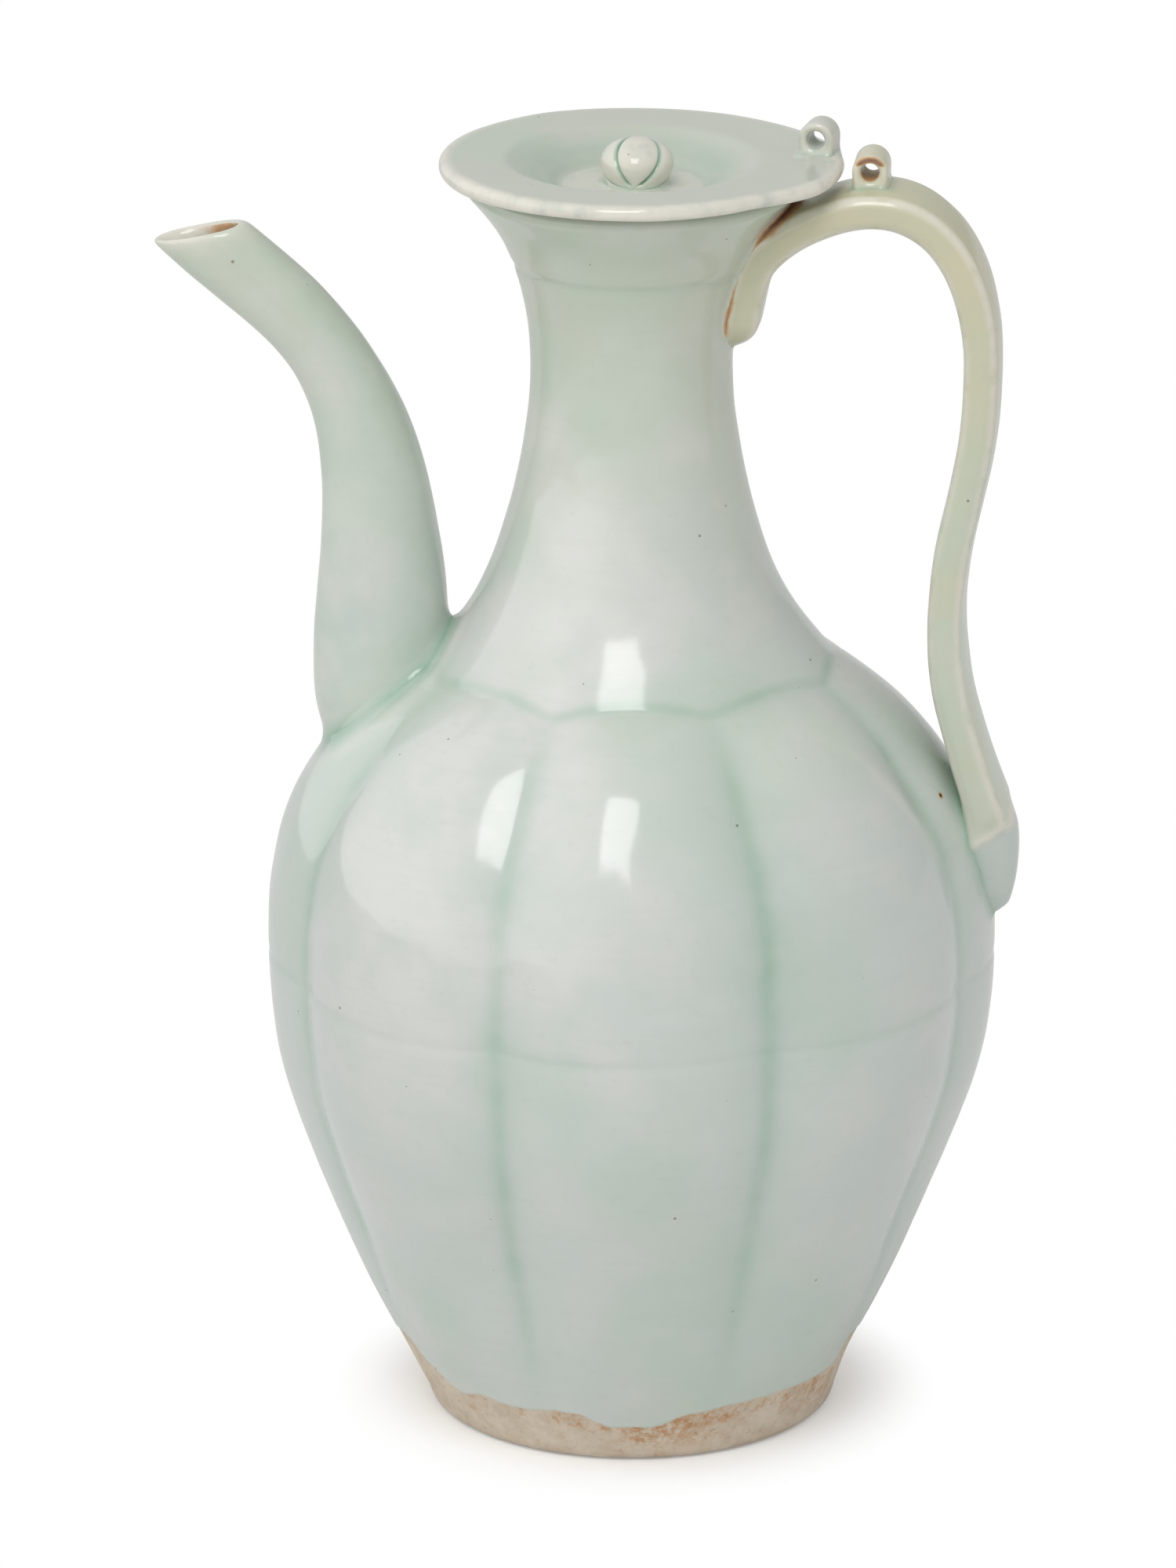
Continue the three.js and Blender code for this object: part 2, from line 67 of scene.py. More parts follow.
# Spout
SPOUT_ROOT_OUT, SPOUT_ROOT_HEIGHT, SPOUT_END_OUT, SPOUT_END_HEIGHT = 38.5, 124.0, 85.3, 226.3
SPOUT_ROOT_HALF, SPOUT_ROOT_HALF_ACROSS = 14.0, 12.8
SPOUT_TIP_HALF, SPOUT_TIP_HALF_ACROSS, SPOUT_WALL = 6.7, 4.8, 2.0
SPOUT_CUT_OUT, SPOUT_CUT_HEIGHT, SPOUT_CUT_TILT = 77.2, 220.6, math.radians(12)

# Handle
HANDLE_REACH, HANDLE_TOP_DROP, HANDLE_WIDTH, HANDLE_THICKNESS = 63.3, 3.6, 16.7, 5.9
HANDLE_EDGE_RADIUS, HANDLE_CROWN = 1.8, 0.5
UPPER_LAP_DROP, UPPER_LAP_LENGTH = 22.0, 8.5
LOWER_LAP_HEIGHT, LOWER_LAP_LENGTH = 121.0, 26.0
# The upper end is a round tongue, the lower one a leaf that starts below its top
TONGUE_ROUND, TONGUE_TAPER, LEAF_ROUND, LEAF_TAPER = 6.5, 8.0, 3.0, 5.0
LEAF_TOP, LEAF_DEPTH, LEAF_BEND, LEAF_RISE, LEAF_SQUARENESS = 116.5, 5.0, 36.0, 1.1, 2.4
# The torn edge between strap and leaf, which rises outwards
TEAR_HEIGHT, TEAR_SLANT, TEAR_RELIEF = 112.5, 0.6, 0.4

# Cord loops
LOOP_RADIUS, LOOP_HOLE_RADIUS, LOOP_EDGE_RADIUS, LOOP_FOOT_SQUARENESS = 3.2, 1.6, 0.78, 3.0
HANDLE_LOOP_LENGTH, HANDLE_LOOP_OUT, HANDLE_LOOP_RISE = 8.6, 43.0, 3.1
LID_LOOP_LENGTH, LID_LOOP_OUT, LID_LOOP_RISE = 6.2, 33.6, 3.0
LID_LOOP_ANGLE, LID_LOOP_TWIST = math.radians(10), math.radians(-10)

# Lid and knob, heights above the lid's seat
SEAM_GAP = 0.3
LID_RADIUS, LID_EDGE_THICKNESS, LID_EDGE_LIFT = 34.7, 2.9, 0.5
LID_SEAT_RADIUS, LID_SEAT_INNER_RADIUS = 31.0, 24.0
TONGUE_REACH, TONGUE_ANGLE, TONGUE_FLAT = 3.4, math.radians(-8), math.radians(8)
TONGUE_FRONT_SPREAD, TONGUE_BACK_SPREAD = math.radians(40), math.radians(85)
BRINK_RADIUS, BRINK_DROP, WELL_RADIUS, WELL_SLOPE_WIDTH = 22.6, 0.3, 13.4, 7.4
WELL_DEPTH, WELL_FILLET, WELL_FLOOR = 5.1, 1.2, 2.5
FLANGE_RADIUS, FLANGE_LENGTH, FLANGE_WALL = 17.0, 12.0, 2.4
LID_SOFTNESS, WELL_SOFTNESS = 0.5, 0.7
KNOB_RADIUS, KNOB_HALF_HEIGHT, KNOB_RISE, KNOB_OFFSET = 6.65, 4.4, 4.1, 0.9
KNOB_LOBES, KNOB_GROOVE_DEPTH, KNOB_GROOVE_SHARPNESS, KNOB_TILT = 6, 0.5, 4, math.radians(48)
# The knob's grooves were cut by hand, and its front lobe is the widest
KNOB_TURN, KNOB_UNEVENNESS = math.radians(7), 0.23

# The same outlines as in the solids, as shares of the way between two named ends
LOWER_BODY_SHARES = [
    (0, 0), (0.11, 0.148), (0.26, 0.38), (0.49, 0.674), (0.71, 0.907), (0.863, 0.982), (1, 1),
]
SHOULDER_SHARES = [(0.185, 0.986), (0.445, 0.885), (0.712, 0.617), (0.893, 0.286), (1, 0)]
NECK_RISE_SHARES = [(0, 1), (0.186, 0.625), (0.322, 0.41), (0.49, 0.24), (0.729, 0.084), (1, 0)]
MOUTH_FLARE_SHARES = [(0.41, 0.11), (0.76, 0.46), (1, 1)]
SPOUT_SHARES = [
    (0, 0, 0.89, 1), (0.112, 0.088, 1, 1), (0.154, 0.186, 0.78, 0.95), (0.152, 0.288, 0.7, 0.85),
    (0.158, 0.396, 0.53, 0.675), (0.182, 0.508, 0.36, 0.51), (0.244, 0.621, 0.18, 0.375),
    (0.346, 0.717, 0.03, 0.275), (0.49, 0.798, 0.01, 0.19), (0.652, 0.862, 0.04, 0.11),
    (0.845, 0.936, 0.05, 0.04), (1, 1, 0.03, 0),
]
HANDLE_RUN_SHARES = [
    (0.367, 0.902), (0.463, 0.955), (0.577, 0.987), (0.679, 1), (0.79, 0.991), (0.889, 0.949),
    (0.957, 0.882), (0.992, 0.802), (1, 0.714), (0.989, 0.612), (0.957, 0.51), (0.918, 0.399),
    (0.902, 0.287), (0.918, 0.176), (0.957, 0.083),
]
UPPER_LAP_SHARES = [(1, 0.2, 0.95, 1), (0.5, 0.22, 1, 1), (0, 0.25, 0.98, 1)]
LOWER_LAP_SHARES = [
    (0, 0.74, 1.05, 1), (0.33, 0.49, 1.2, 0.97), (0.65, 0.27, 0.92, 0.72), (0.87, 0.06, 0.62, 0.5),
    (0.975, -0.04, 0.42, 0.36),
]

# Camera: a long lens in front, a little above and to the handle's side
AIM_HEIGHT, CAMERA_DISTANCE = 120.0, 1900.0
CAMERA_AZIMUTH, CAMERA_ELEVATION = math.radians(6), math.radians(18.67)
LENS, SHIFT_X, SHIFT_Y = 239.4, -0.028, -0.0075

# Lamps in metres: distance, width, height and brightness, first of the lamp that lights the
# ewer, then of the one that shows in its glaze
LAMP_AZIMUTH, LAMP_ELEVATION = math.radians(-4), math.radians(53)
LIGHTING_LAMP, SHOWN_LAMP = (1.3, 0.62, 0.74, 3.7), (1.2, 0.4, 0.57, 5.4)
# The room: two of its sides, its light on surfaces, and how bright it shows in the glaze
LEFT_OF_ROOM, DIM_SIDE = (-0.945, -0.253, 0.208), (0.85, 0.51, 0.13)
ROOM_LIGHT, LEFT_LIGHT = 0.58, 0.85
ROOM_SHOWN, DIM_SHOWN, LEFT_SHOWN = 0.74, 0.35, 1.9
# The floor in metres: it turns plain white between the fade's distances from the middle
FLOOR_REACH, FLOOR_DROP, FLOOR_FADE, FLOOR_LIFT = 6.0, 0.0002, (0.037, 0.058), 0.2

# Glaze
GLAZE_STEP, SEAM_LINE_DEPTH, SEAM_LINE_HALF_WIDTH = 0.22, 0.16, 1.1
# The glaze's lower edge: angles from the camera's side, and the heights there
EDGE_ANGLES = [-180, -100, -68, -48, -38, -28, -19, -11, -5, 6, 15, 24, 33, 50, 66, 70, 100, 180]
EDGE_HEIGHTS = [
    13, 15, 15.5, 8.9, 10.1, 9.6, 10.7, 9.8, 8.1, 7.7, 9.9, 10.3, 11.1, 11.5, 10.9, 16, 15, 13,
]
# Milky glaze patches, which also stand as painted reflection of the room's bright left side and
# painted light, and a greener one: angle from the camera's side and width in degrees, height and
# its spread, share
MILKY_AND_LIT_PATCHES = [
    (-22, 30, 148, 34, 0.8), (-32, 22, 108, 26, 0.6), (-12, 14, 100, 30, 0.25),
    (-42, 26, 188, 15, 0.6), (36, 14, 136, 8, 0.5),
]
GREEN_PATCH = (24, 13, 104, 24, 0.24)
# Heights above the glaze's lower edge that stand for well glazed and for bare clay
GLAZED, BARE = 50.0, -9.0
# The rust along the strap's upper end starts at the first height and is full at the second
RUST_HEIGHTS = 203, 207
# A burst bubble in the glaze beside the strap's foot
PINHOLE = (60.3, -10.0, 122.7)
SPOUT_FILLET, HANDLE_FILLET, LOOP_FILLET, KNOB_FILLET = 3.0, 2.2, 2.0, 2.2
LEAN, LEAN_LOW, LEAN_HIGH = 0.65, 12.0, 85.0

# How finely the skins are made
COLUMNS, TUBE_COLUMNS = 360, 88
STEP, INNER_STEP, NECK_INNER_STEP = 1.0, 5.0, 3.0
OUTLINE_FAIRNESS, SPOUT_FAIRNESS, HANDLE_FAIRNESS = 2.5, 3.0, 2.0

FULL_TURN = 2 * math.pi
TO_CAMERA = math.atan2(-math.cos(CAMERA_AZIMUTH), math.sin(CAMERA_AZIMUTH))


def lerp(low, high, share):
    return low + (high - low) * share


def smoothstep(value, low, high):
    share = np.clip((value - low) / (high - low), 0, 1)
    return share * share * (3 - 2 * share)


def bell(value, width):
    return np.exp(-((value / width) ** 2))


def catmull(points, count=800):
    """A curve through the points, drawn as the solids' outlines are."""
    points = np.array(points, float)
    last = len(points) - 1
    place = np.linspace(0, last, count + 1)
    start = np.minimum(place.astype(int), last - 1)
    t = (place - start)[:, None]
    before, here = points[np.maximum(start - 1, 0)], points[start]
    there, after = points[start + 1], points[np.minimum(start + 2, last)]
    slope_here, slope_there = (there - before) / 2, (after - here) / 2
    cube = 2 * here - 2 * there + slope_here + slope_there
    square = -3 * here + 3 * there - 2 * slope_here - slope_there
    return cube * t**3 + square * t**2 + slope_here * t + here


def travelled(line, axes=2):
    """How far along the line each of its points lies, by its first columns."""
    return np.r_[0, np.cumsum(np.linalg.norm(np.diff(line[:, :axes], axis=0), axis=1))]


def read_at(places, length, table):
    """The table's columns at these places, where length says how far along each row lies."""
    return np.stack([np.interp(places, length, column) for column in table.T], -1)


def ways_of(line):
    """The direction of a flat line at each of its points."""
    way = np.gradient(line[:, :2], axis=0)
    return way / np.linalg.norm(way, axis=1)[:, None]


def rounded_off(line, step, reach):
    """A line of even steps, softened over a reach, with its ends kept."""
    side = int(3 * reach / step)
    weights = np.exp(-0.5 * (np.arange(-side, side + 1) * step / reach) ** 2)
    padded = np.concatenate([
        2 * line[0] - line[side:0:-1], line, 2 * line[-1] - line[-2:-side - 2:-1],
    ])
    weights /= weights.sum()
    return np.stack([np.convolve(column, weights, "valid") for column in padded.T], 1)


def fair(line, step, reach):
    """The line at even steps and softened, so that reflections flow along it."""
    length = travelled(line)
    even = np.linspace(0, length[-1], int(length[-1] / step) + 1)
    return rounded_off(read_at(even, length, line), step, reach)


class Outline:
    """A rising line of (radius, height) that can be read by length or by height."""

    def __init__(self, points, reach):
        self.line = fair(catmull(points), STEP / 4, reach)
        self.length = travelled(self.line)
        way = ways_of(self.line)
        self.outwards = np.stack([way[:, 1], -way[:, 0]], 1)

    def at(self, length, out=0.0):
        """Points at these lengths, moved out along the outline's normal."""
        place, way = (read_at(length, self.length, table) for table in (self.line, self.outwards))
        return place + way * np.asarray(out)[..., None]

    def to_height(self, height):
        return np.interp(height, self.line[:, 1], self.length)

    def radius(self, height):
        return np.interp(height, self.line[:, 1], self.line[:, 0])


def ripple(points, wavelength, seed, waves=16):
    """A soft, uneven height at each point, mostly within one either way."""
    random = np.random.default_rng(seed)
    ways = random.normal(size=(waves, 3))
    ways /= np.linalg.norm(ways, axis=1)[:, None]
    pace = FULL_TURN / (wavelength * random.uniform(0.7, 1.7, waves))
    phase = random.uniform(0, FULL_TURN, waves)
    return np.sin(points @ (ways * pace[:, None]).T + phase).sum(-1) / math.sqrt(waves)


def normals_of(rows):
    """The outward normal at each point of rows of points that go round."""
    along = np.gradient(rows, axis=0)
    around = np.roll(rows, -1, 1) - np.roll(rows, 1, 1)
    out = np.cross(around, along)
    return out / np.maximum(np.linalg.norm(out, axis=-1), 1e-9)[..., None]


def softened(rows, weights, turns):
    """Rows drawn towards the middle of their neighbours, by a weight for each row."""
    weights = np.asarray(weights)[:, None, None]
    for _ in range(turns):
        middle = (rows[:-2] + rows[2:]) / 2
        rows = rows.copy()
        rows[1:-1] += weights[1:-1] * (middle - rows[1:-1])
    return rows


def quads_of(count, size, wrap):
    index = np.arange(count * size).reshape(count, size)
    low, high = (index, np.roll(index, -1, 0)) if wrap else (index[:-1], index[1:])
    corners = low, np.roll(low, -1, 1), np.roll(high, -1, 1), high
    return np.stack(corners, -1).reshape(-1, 4).tolist()


def tree_of(rows):
    """A search tree for the surface that the rows make."""
    points = [Vector(point) for point in rows.reshape(-1, 3).tolist()]
    return BVHTree.FromPolygons(points, quads_of(*rows.shape[:2], False))


def clearance(tree, points, reach):
    """How far each point lies outside a surface, below nought inside it, reach at most."""
    gaps = np.full(points.shape[:-1], float(reach)).ravel()
    for number, point in enumerate(points.reshape(-1, 3).tolist()):
        place, normal, _, gap = tree.find_nearest(Vector(point), reach)
        if place is not None:
            gaps[number] = gap if (Vector(point) - place).dot(normal) >= 0 else -gap
    return gaps.reshape(points.shape[:-1])


def filleted(rows, tree, size):
    """Rows raised along their normals into a soft hollow against another surface, and the gap."""
    out, moved = normals_of(rows), rows.copy()
    gap = clearance(tree, rows, size)
    near = gap < size
    for _ in range(3):
        height = (math.sqrt(size) - np.sqrt(np.clip(gap[near], size / 5, size))) ** 2
        moved[near] = rows[near] + out[near] * height[:, None]
        gap[near] = clearance(tree, moved[near], size)
    return moved, gap


def set_on(small, carrier, carrier_tree, size, wrap=False):
    """A small skin and its carrier filleted into each other, each with its gap to the other."""
    small_tree = tree_of(np.r_[small, small[:1]] if wrap else small)
    return (*filleted(small, carrier_tree, size), *filleted(carrier, small_tree, size))


def placed(name, data):
    """A new object in the scene."""
    made = bpy.data.objects.new(name, data)
    bpy.context.scene.collection.objects.link(made)
    return made


def piece(name, rows, body, node, material, layers, wrap=False, sharp=()):
    """A closed skin of rows of points that go round, joined end to end or closed at each end."""
    count, size = rows.shape[:2]
    points, faces = rows.reshape(-1, 3), quads_of(count, size, wrap)
    values = {key: np.broadcast_to(layer, (count, size)).ravel() for key, layer in layers.items()}
    if not wrap:
        ends = [(0, True), (count - 1, False)]
        for row, first in ends:
            pole = len(points)
            points = np.r_[points, [rows[row].mean(0)]]
            for key in values:
                values[key] = np.r_[values[key], values[key][row * size:(row + 1) * size].mean()]
            for step in range(size):
                pair = [row * size + step, row * size + (step + 1) % size]
                faces.append([pole, *(pair[::-1] if first else pair)])
    mesh = bpy.data.meshes.new(name)
    mesh.from_pydata((points * MM).tolist(), [], faces)
    mesh.shade_smooth()
    if sharp:
        ends = np.empty(2 * len(mesh.edges), np.int32)
        mesh.edges.foreach_get("vertices", ends)
        row = ends.reshape(-1, 2) // size
        marked = np.isin(row[:, 0], np.array(sharp) % count) & (row[:, 0] == row[:, 1])
        mesh.attributes.new("sharp_edge", "BOOLEAN", "EDGE").data.foreach_set("value", marked)
    for key, value in values.items():
        attribute = mesh.attributes.new(key, "FLOAT", "POINT")
        attribute.data.foreach_set("value", value.astype(np.float32))
    mesh.materials.append(material)
    made = placed(name, mesh)
    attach(made, body)
    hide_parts(node)


def srgb(red, green, blue):
    """A colour given as it looks on a screen, out of 255."""
    shares = [value / 255 for value in (red, green, blue)]
    linear = [s / 12.92 if s <= 0.04045 else ((s + 0.055) / 1.055) ** 2.4 for s in shares]
    return (*linear, 1.0)


class Nodes:
    """Short ways to add the nodes of a material."""

    def __init__(self, tree):
        self.tree = tree
        tree.nodes.clear()

    def add(self, kind, inputs=(), **settings):
        node = self.tree.nodes.new("ShaderNode" + kind)
        for key, value in settings.items():
            setattr(node, key, value)
        for key, value in dict(inputs).items():
            if isinstance(value, bpy.types.NodeSocket):
                self.tree.links.new(value, node.inputs[key])
            else:
                node.inputs[key].default_value = value
        return node

    def maths(self, operation, *values):
        return self.add("Math", dict(enumerate(values)), operation=operation).outputs[0]

    def ramp(self, value, low, high):
        """Nought below low, one above high, and smooth between."""
        inputs = {"Value": value, "From Min": low, "From Max": high}
        return self.add("MapRange", inputs, interpolation_type="SMOOTHSTEP").outputs[0]

    def blend(self, share, first, second):
        """A number between two others."""
        return self.add("Mix", {0: share, 2: first, 3: second}).outputs[0]

    def mix(self, share, first, second):
        """A colour between two others."""
        return self.add("Mix", {0: share, 6: first, 7: second}, data_type="RGBA").outputs[2]

    def noise(self, place, scale, detail=3.0, roughness=0.5):
        inputs = {"Vector": place, "Scale": scale, "Detail": detail, "Roughness": roughness}
        return self.add("TexNoise", inputs).outputs[0]

    def layer(self, name):
        return self.add("Attribute", attribute_name=name).outputs["Fac"]


def glaze(name, low, high, warm, softness, seed, pinhole=None):
    """Clear blue-green glaze over porcelain, with the rust, specks and bare clay it shows.

    Low and high are its colours by height, warm the tint of its patches, and softness how
    rough its surface is. A pinhole is a small burst bubble with a rusty rim.
    """
    material = bpy.data.materials.new(name)
    material.use_nodes = True
    n = Nodes(material.node_tree)
    own = n.add("TexCoord").outputs["Object"]
    place = n.add("VectorMath", {0: own, 1: (seed, seed / 2, -seed)}, operation="ADD").outputs[0]
    drawn = n.add("VectorMath", {0: place, 1: (1, 1, 14)}, operation="MULTIPLY").outputs[0]
    axes = n.add("SeparateXYZ", {0: own})
    pool_and_shade, thin, rust, shore, milky_and_light, cool = (
        n.layer(key) for key in ("pool_and_shade", "thin", "rust", "shore", "milky_and_light", "cool")
    )

    cloud = n.noise(place, 24, 2)
    patch = n.noise(place, 62, 3)
    fine = n.noise(place, 420, 3, 0.6)
    streak = n.noise(drawn, 60, 3, 0.6)
    height = n.maths("ADD", axes.outputs["Z"], n.maths("MULTIPLY", cloud, 0.05))
    paint = n.mix(n.ramp(height, 0.165, 0.25), low, high)
    pale = n.maths("MULTIPLY", n.ramp(patch, 0.46, 0.66), 0.4)
    paint = n.mix(pale, paint, warm)
    # Creamy white where the glaze is milky; the same layer carries painted light and painted
    # reflection in patches
    milk_and_light = n.maths("MULTIPLY", milky_and_light, n.ramp(patch, 0.25, 0.6))
    paint = n.mix(milk_and_light, paint, srgb(228, 226, 222))
    paint = n.mix(cool, paint, srgb(201, 209, 202))
    green = n.maths("MULTIPLY", n.ramp(cloud, 0.48, 0.64), 0.35)
    paint = n.mix(green, paint, srgb(186, 206, 188))
    paint = n.mix(n.maths("MULTIPLY", n.ramp(streak, 0.45, 0.75), 0.08), paint, srgb(186, 194, 178))
    edge = n.maths("MULTIPLY", thin, n.ramp(n.noise(place, 240, 3), 0.15, 0.55))
    paint = n.mix(edge, paint, srgb(232, 227, 215))
    evenness = n.add("MapRange", {
        "Value": n.noise(place, 110, 2), "From Min": 0.3, "From Max": 0.7,
        "To Min": 0.55, "To Max": 1.0,
    })
    # Green where the glaze pools in hollows; the same layer carries painted shade on the spout's
    # right side
    depth = n.maths("MULTIPLY", pool_and_shade, evenness.outputs[0])
    paint = n.mix(depth, paint, srgb(152, 184, 164))
    paint = n.mix(n.ramp(depth, 0.85, 1.6), paint, srgb(96, 122, 100))
    paint = n.mix(n.maths("MULTIPLY", n.ramp(fine, 0.55, 0.75), 0.1), paint, srgb(176, 186, 170))

    specks = n.add("TexVoronoi", {"Vector": place, "Scale": 210.0})
    tone = n.add("SeparateColor", {"Color": specks.outputs["Color"]})
    size = n.maths("MULTIPLY", n.ramp(tone.outputs["Red"], 0.5, 1.0), 0.06)
    speck = n.maths("LESS_THAN", specks.outputs["Distance"], size)
    speck_tone = n.mix(tone.outputs["Green"], srgb(112, 120, 108), srgb(146, 112, 78))
    paint = n.mix(n.maths("MULTIPLY", speck, 0.8), paint, speck_tone)

    stain = n.maths("SUBTRACT", rust, n.maths("MULTIPLY", n.noise(place, 520, 4, 0.65), 0.7))
    stain = n.ramp(stain, 0.0, 0.35)
    stain_tone = n.maths("ADD", rust, n.maths("MULTIPLY", n.noise(place, 900, 2), -0.3))
    stain_tone = n.mix(n.ramp(stain_tone, 0.4, 0.85), srgb(204, 160, 108), srgb(122, 76, 56))
    paint = n.mix(n.maths("MULTIPLY", stain, 0.9), paint, stain_tone)
    if pinhole:
        away = n.add("VectorMath", {0: own, 1: pinhole}, operation="DISTANCE").outputs["Value"]
        away = n.maths("ADD", away, n.maths("MULTIPLY", fine, 0.0003))
        paint = n.mix(n.ramp(away, 0.0011, 0.0006), paint, srgb(206, 170, 128))
        paint = n.mix(n.ramp(away, 0.00062, 0.00045), paint, srgb(84, 48, 34))

    wobble = n.maths("MULTIPLY", n.maths("SUBTRACT", n.noise(place, 300, 4, 0.6), 0.5), 1.8)
    height = n.maths("ADD", shore, wobble)
    glazed = n.ramp(height, -0.18, 0.18)
    pale = n.ramp(n.noise(place, 160, 6, 0.7), 0.3, 0.7)
    clay = n.mix(pale, srgb(200, 184, 163), srgb(222, 210, 193))
    clay = n.mix(n.maths("MULTIPLY", streak, 0.3), clay, srgb(214, 196, 172))
    burnt = n.ramp(n.noise(place, 70, 6, 0.75), 0.46, 0.6)
    burnt = n.maths("MULTIPLY", burnt, n.ramp(n.noise(place, 520, 5, 0.8), 0.4, 0.58))
    burnt = n.maths("MULTIPLY", burnt, n.ramp(height, -11.0, -1.0))
    clay = n.mix(n.maths("MULTIPLY", burnt, 0.85), clay, srgb(190, 136, 84))
    grit = n.maths("MULTIPLY", n.ramp(n.noise(place, 800, 3, 0.6), 0.6, 0.72), 0.4)
    clay = n.mix(grit, clay, srgb(160, 118, 82))
    paint = n.mix(glazed, clay, paint)

    shine = n.maths("ADD", n.maths("SUBTRACT", softness, 0.035), n.maths("MULTIPLY", fine, 0.07))
    shine = n.maths("SUBTRACT", shine, n.maths("MULTIPLY", thin, 0.95 * (softness - 0.07)))
    shine = n.maths("ADD", shine, n.maths("MULTIPLY", stain, 0.4))
    rough = n.blend(glazed, 0.78, shine)
    skin = n.noise(place, 180, 1)
    grain = n.maths("MULTIPLY", n.noise(place, 1500, 4, 0.7), 2.5)
    relief = n.blend(glazed, grain, skin)
    relief = n.maths("SUBTRACT", relief, n.maths("MULTIPLY", speck, 0.2))
    relief = n.maths("ADD", relief, n.maths("MULTIPLY", glazed, 1.5))
    bump = n.add("Bump", {"Height": relief, "Strength": 0.35, "Distance": 0.00012}).outputs[0]
    inputs = {"Base Color": paint, "Roughness": rough, "Normal": bump, "IOR": 1.5}
    shader = n.add("BsdfPrincipled", inputs)
    n.add("OutputMaterial", {"Surface": shader.outputs[0]})
    return material


def layers_of(shape, pool_and_shade=0.0, thin=0.0, rust=0.0, milky_and_light=0.0, cool=0.0, shore=GLAZED):
    """The glaze's values at every point of a skin."""
    given = {
        "pool_and_shade": pool_and_shade, "thin": thin, "rust": rust, "milky_and_light": milky_and_light, "cool": cool, "shore": shore,
    }
    size = shape[:2]
    return {key: np.broadcast_to(np.asarray(value, float), size) for key, value in given.items()}


# Outlines of body and neck
def between(low, high, shares):
    return [(lerp(low[0], high[0], reach), lerp(low[1], high[1], rise)) for rise, reach in shares]


half_wall = NECK_WALL / 2
lip = (
    MOUTH_RADIUS - half_wall * (1 - math.cos(LIP_TILT)),
    MOUTH_HEIGHT - half_wall * (1 + math.sin(LIP_TILT)),
)
foot_edge, belly = (FOOT_EDGE_RADIUS, FOOT_EDGE_HEIGHT), (BELLY_RADIUS, BELLY_HEIGHT)
shoulder = (SHOULDER_TOP_RADIUS, BELLY_HEIGHT), (BELLY_RADIUS, SHOULDER_TOP_HEIGHT)
crest = Outline(
    between(foot_edge, belly, LOWER_BODY_SHARES) + between(*shoulder, SHOULDER_SHARES),
    OUTLINE_FAIRNESS,
)
neck_root = (WAIST_RADIUS, SHOULDER_TOP_HEIGHT - NECK_ROOT_DEPTH)
neck_line = Outline(
    between(neck_root, (NECK_ROOT_RADIUS, WAIST_HEIGHT), NECK_RISE_SHARES)
    + between((WAIST_RADIUS, WAIST_HEIGHT), lip, MOUTH_FLARE_SHARES),
    OUTLINE_FAIRNESS,
)

# Vessel: rows of (radius, height), one column for each direction round the axis
turn = LOBE_TURN + np.arange(COLUMNS) * FULL_TURN / COLUMNS


def groove_share(angle):
    lobe = (angle - LOBE_TURN) * LOBE_COUNT / FULL_TURN
    depth = np.array(GROOVE_SHARES)[np.floor(lobe).astype(int) % LOBE_COUNT]
    return depth * (2 * np.abs(lobe - np.round(lobe))) ** LOBE_SHARPNESS


spread = np.radians(np.linspace(-4, 4, 25))
weights = bell(spread, math.radians(2.1))
groove = (groove_share(turn[:, None] + spread) * weights).sum(1) / weights.sum()
lobe = (turn - LOBE_TURN) * LOBE_COUNT / FULL_TURN
off_crest = 2 * np.abs(lobe - np.round(lobe))
which, middle_share = np.round(lobe).astype(int) % LOBE_COUNT, (1 - off_crest**2) ** 2
fullness = np.array(LOBE_FULLNESS)[which] * middle_share
steepness = np.array(LOBE_STEEPNESS)[which] * middle_share


def groove_depth(height):
    rise = smoothstep(height, LOBE_FADE_HEIGHT, LOBE_FULL_HEIGHT)
    fall = smoothstep(height, LOBE_HIGH_FADE, LOBE_TOP_HEIGHT)
    return LOBE_DEPTH * rise * lerp(1, LOBE_TOP_SHARE, fall)


def body_at(length, out=0.0):
    """Points of the lobed wall: a row of columns for each length along the crest line."""
    height = crest.at(length)[..., 1]
    full = smoothstep(height, LOBE_FULL_HEIGHT / 2, SEAM_HEIGHT)
    full = full * (1 - smoothstep(height, LOBE_HIGH_FADE, LOBE_TOP_HEIGHT)) * fullness
    higher = (height - STEEPNESS_HEIGHT) / STEEPNESS_SPREAD
    full = full + higher * bell(higher, 1) * steepness
    return crest.at(length, out + full - groove_depth(height) * groove)


def ring_lengths():
    """How far up the crest line each column meets the neck."""
    tries = np.linspace(crest.to_height(BELLY_HEIGHT), crest.length[-1], 900)
    rows = body_at(np.repeat(tries[:, None], COLUMNS, 1))
    past = rows[..., 0] - neck_line.radius(rows[..., 1])
    first = np.argmax(past <= 0, 0)
    column = np.arange(COLUMNS)
    low, high = past[first - 1, column], past[first, column]
    return tries[first - 1] + (tries[1] - tries[0]) * low / (low - high)


def spaced(start, end, step, fine=(), finer=0.35):
    """Lengths from start to end, closer together round the fine places."""
    found = [np.linspace(start, end, int((end - start) / step) + 2)]
    for place, half in fine:
        found.append(np.arange(place - half, place + half, step * finer))
    found = np.unique(np.concatenate(found))
    found = found[(found >= start) & (found <= end)]
    keep = np.r_[True, np.diff(found) > step * finer / 2]
    keep[-1] = True
    return found[keep]


ring = ring_lengths()
ring_height = body_at(ring[None, :])[0, :, 1]
seam = crest.to_height(SEAM_HEIGHT)
start = neck_line.to_height(ring_height)
neck_end = neck_line.length[-1]

